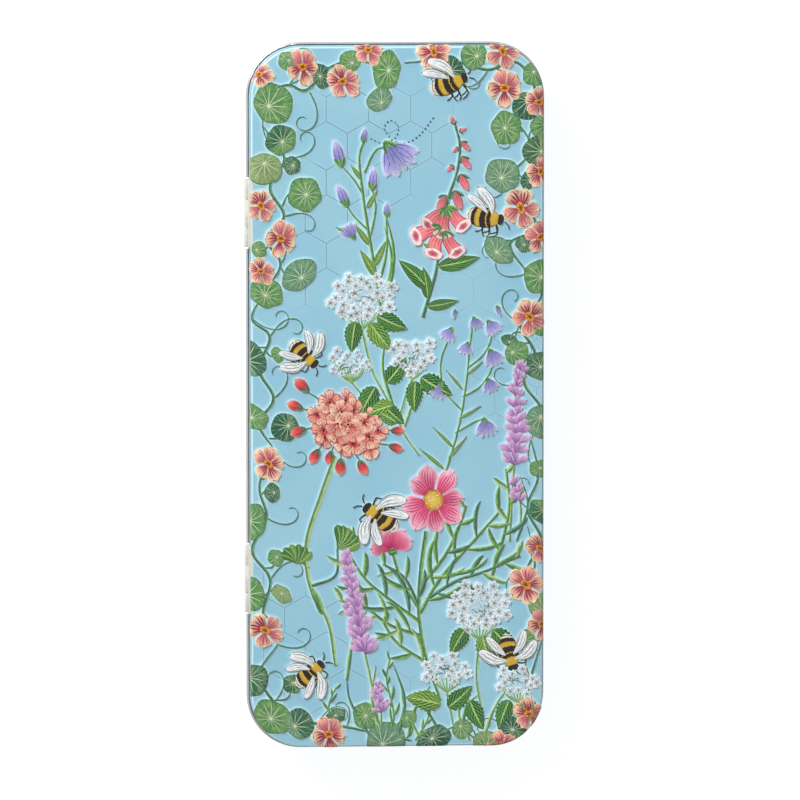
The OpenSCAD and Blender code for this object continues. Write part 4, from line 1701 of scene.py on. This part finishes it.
def paint_faces(obj, is_printed):
    """The first slot is the print and the second the bare tinplate"""
    obj.data.materials.append(printed)
    obj.data.materials.append(tinplate)
    for face in obj.data.polygons:
        x, y, z = (c / MM for c in face.center)
        hidden_side = z > TOP - SHEET - 0.02 and face.normal.z < 0
        face.material_index = 0 if is_printed(x, y, z) and not hidden_side else 1


def set_field(obj, name, values):
    layer = obj.data.attributes.new(name, "FLOAT", "POINT")
    layer.data.foreach_set("value", np.asarray(values, float))


def ride_tin(obj, body, node):
    bpy.ops.object.shade_smooth_by_angle(angle=math.radians(32))
    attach(obj, body)
    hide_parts(node)


def make_lid():
    lid = skin_of("lid_shell", "embossed_lid")
    open_panel(lid)
    lid = join("embossed_lid", [lid, emboss_panel()])
    x, y, z = read_points(lid.data).T / MM
    on_top = z > TOP - 0.05
    # Where the pale glow goes: partly printed glow, partly painted highlight of the embossing
    set_field(lid, "halo", np.where(on_top, sample(halo_field, x, y), 0))
    set_field(lid, "comb", np.where(on_top, comb_field(x, y), 0))
    # Turns on the painted shadow line and painted highlight line along the lid's shoulder
    set_field(lid, "shoulder_painted_light", np.ones(len(z)))

    def is_printed(px, py, pz):
        """The outer face of the top, the shoulder and the skirt, down to the rolled edge"""
        off = outside(px, py, FLAT_X + SHOULDER_R, FLAT_Y + SHOULDER_R, FLAT_R + SHOULDER_R)
        bend_z = TOP - SHOULDER_R
        if pz > bend_z:
            return math.hypot(max(off + SHOULDER_R, 0), pz - bend_z) > SHOULDER_R - SHEET / 2
        return pz > EDGE_TOP and off > -SHEET / 2

    paint_faces(lid, is_printed)
    ride_tin(lid, "lid", "lid_shell")


def comb_field(x, y):
    """Where the honeycomb shows: a few soft patches of the lid's top"""
    shown = np.zeros(len(x))
    for cx, cy, wide, tall, strength in [
        (-9, 68, 16, 26, 1.0), (-24, 42, 12, 18, 0.9), (6, 72, 12, 14, 0.8), (33, 5, 14, 18, 0.55),
        (20, 30, 14, 12, 0.3), (-22, -70, 18, 20, 0.9), (-34, -62, 10, 18, 0.8), (-4, -78, 12, 12, 0.5),
    ]:
        reach = np.hypot((x - cx) / wide, (y - cy) / tall)
        shown = np.maximum(shown, strength * np.clip((1.1 - reach) * 3, 0, 1))
    return shown


def make_base():
    base = skin_of("base_pan", "base_skin")
    # The base gets no pale glow, no honeycomb and no painted shoulder shade or highlight
    for field in ("halo", "comb", "shoulder_painted_light"):
        set_field(base, field, np.zeros(len(base.data.vertices)))
    smaller = SHOULDER_R - WALL_INSET

    def is_printed(px, py, pz):
        """The outer face of the floor, the bend and the wall"""
        off = outside(px, py, FLAT_X + smaller, FLAT_Y + smaller, FLAT_R + smaller)
        if pz < FLOOR_BEND_R:
            across = math.hypot(max(off + FLOOR_BEND_R, 0), FLOOR_BEND_R - pz)
            return pz < SHEET / 2 or across > FLOOR_BEND_R - SHEET / 2
        return off > -SHEET / 2

    paint_faces(base, is_printed)
    ride_tin(base, "base", "base_pan")


def make_hinges():
    enamel = enamel_paint()
    wire = pin_paint()
    for place in ("upper", "lower"):
        for body in ("lid", "base"):
            node = f"{place}_hinge_{body}_leaf"
            obj = skin_of(node, node + "_skin")
            obj.data.materials.append(enamel)
            edges = obj.modifiers.new("edges", "BEVEL")
            edges.width = 0.07 * MM
            edges.segments = 2
            edges.limit_method = "ANGLE"
            edges.angle_limit = math.radians(40)
            bpy.ops.object.modifier_apply(modifier="edges")
            bpy.ops.object.shade_smooth_by_angle(angle=math.radians(35))
            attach(obj, body)
            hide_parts(node)
        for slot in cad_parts[f"{place}_hinge_pin"].material_slots:
            slot.material = wire


def add_floor():
    """A pale floor that reads as white from the camera and still takes soft shadows"""
    deselect()
    bpy.ops.mesh.primitive_plane_add(size=8)
    floor = bpy.context.object
    floor.name = "floor"
    material = bpy.data.materials.new("pale_floor")
    material.use_nodes = True
    tree = Tree(material.node_tree)
    shader = material.node_tree.nodes["Principled BSDF"]
    shader.inputs["Base Color"].default_value = (0.72, 0.72, 0.72, 1)
    shader.inputs["Roughness"].default_value = 0.8
    shader.inputs["Emission Color"].default_value = (1, 1, 1, 1)
    seen = tree.node("LightPath").outputs["Is Camera Ray"]
    tree.put(shader.inputs["Emission Strength"], tree.math("MULTIPLY", seen, 0.75))
    floor.data.materials.append(material)


make_lid()
make_base()
make_hinges()
add_floor()
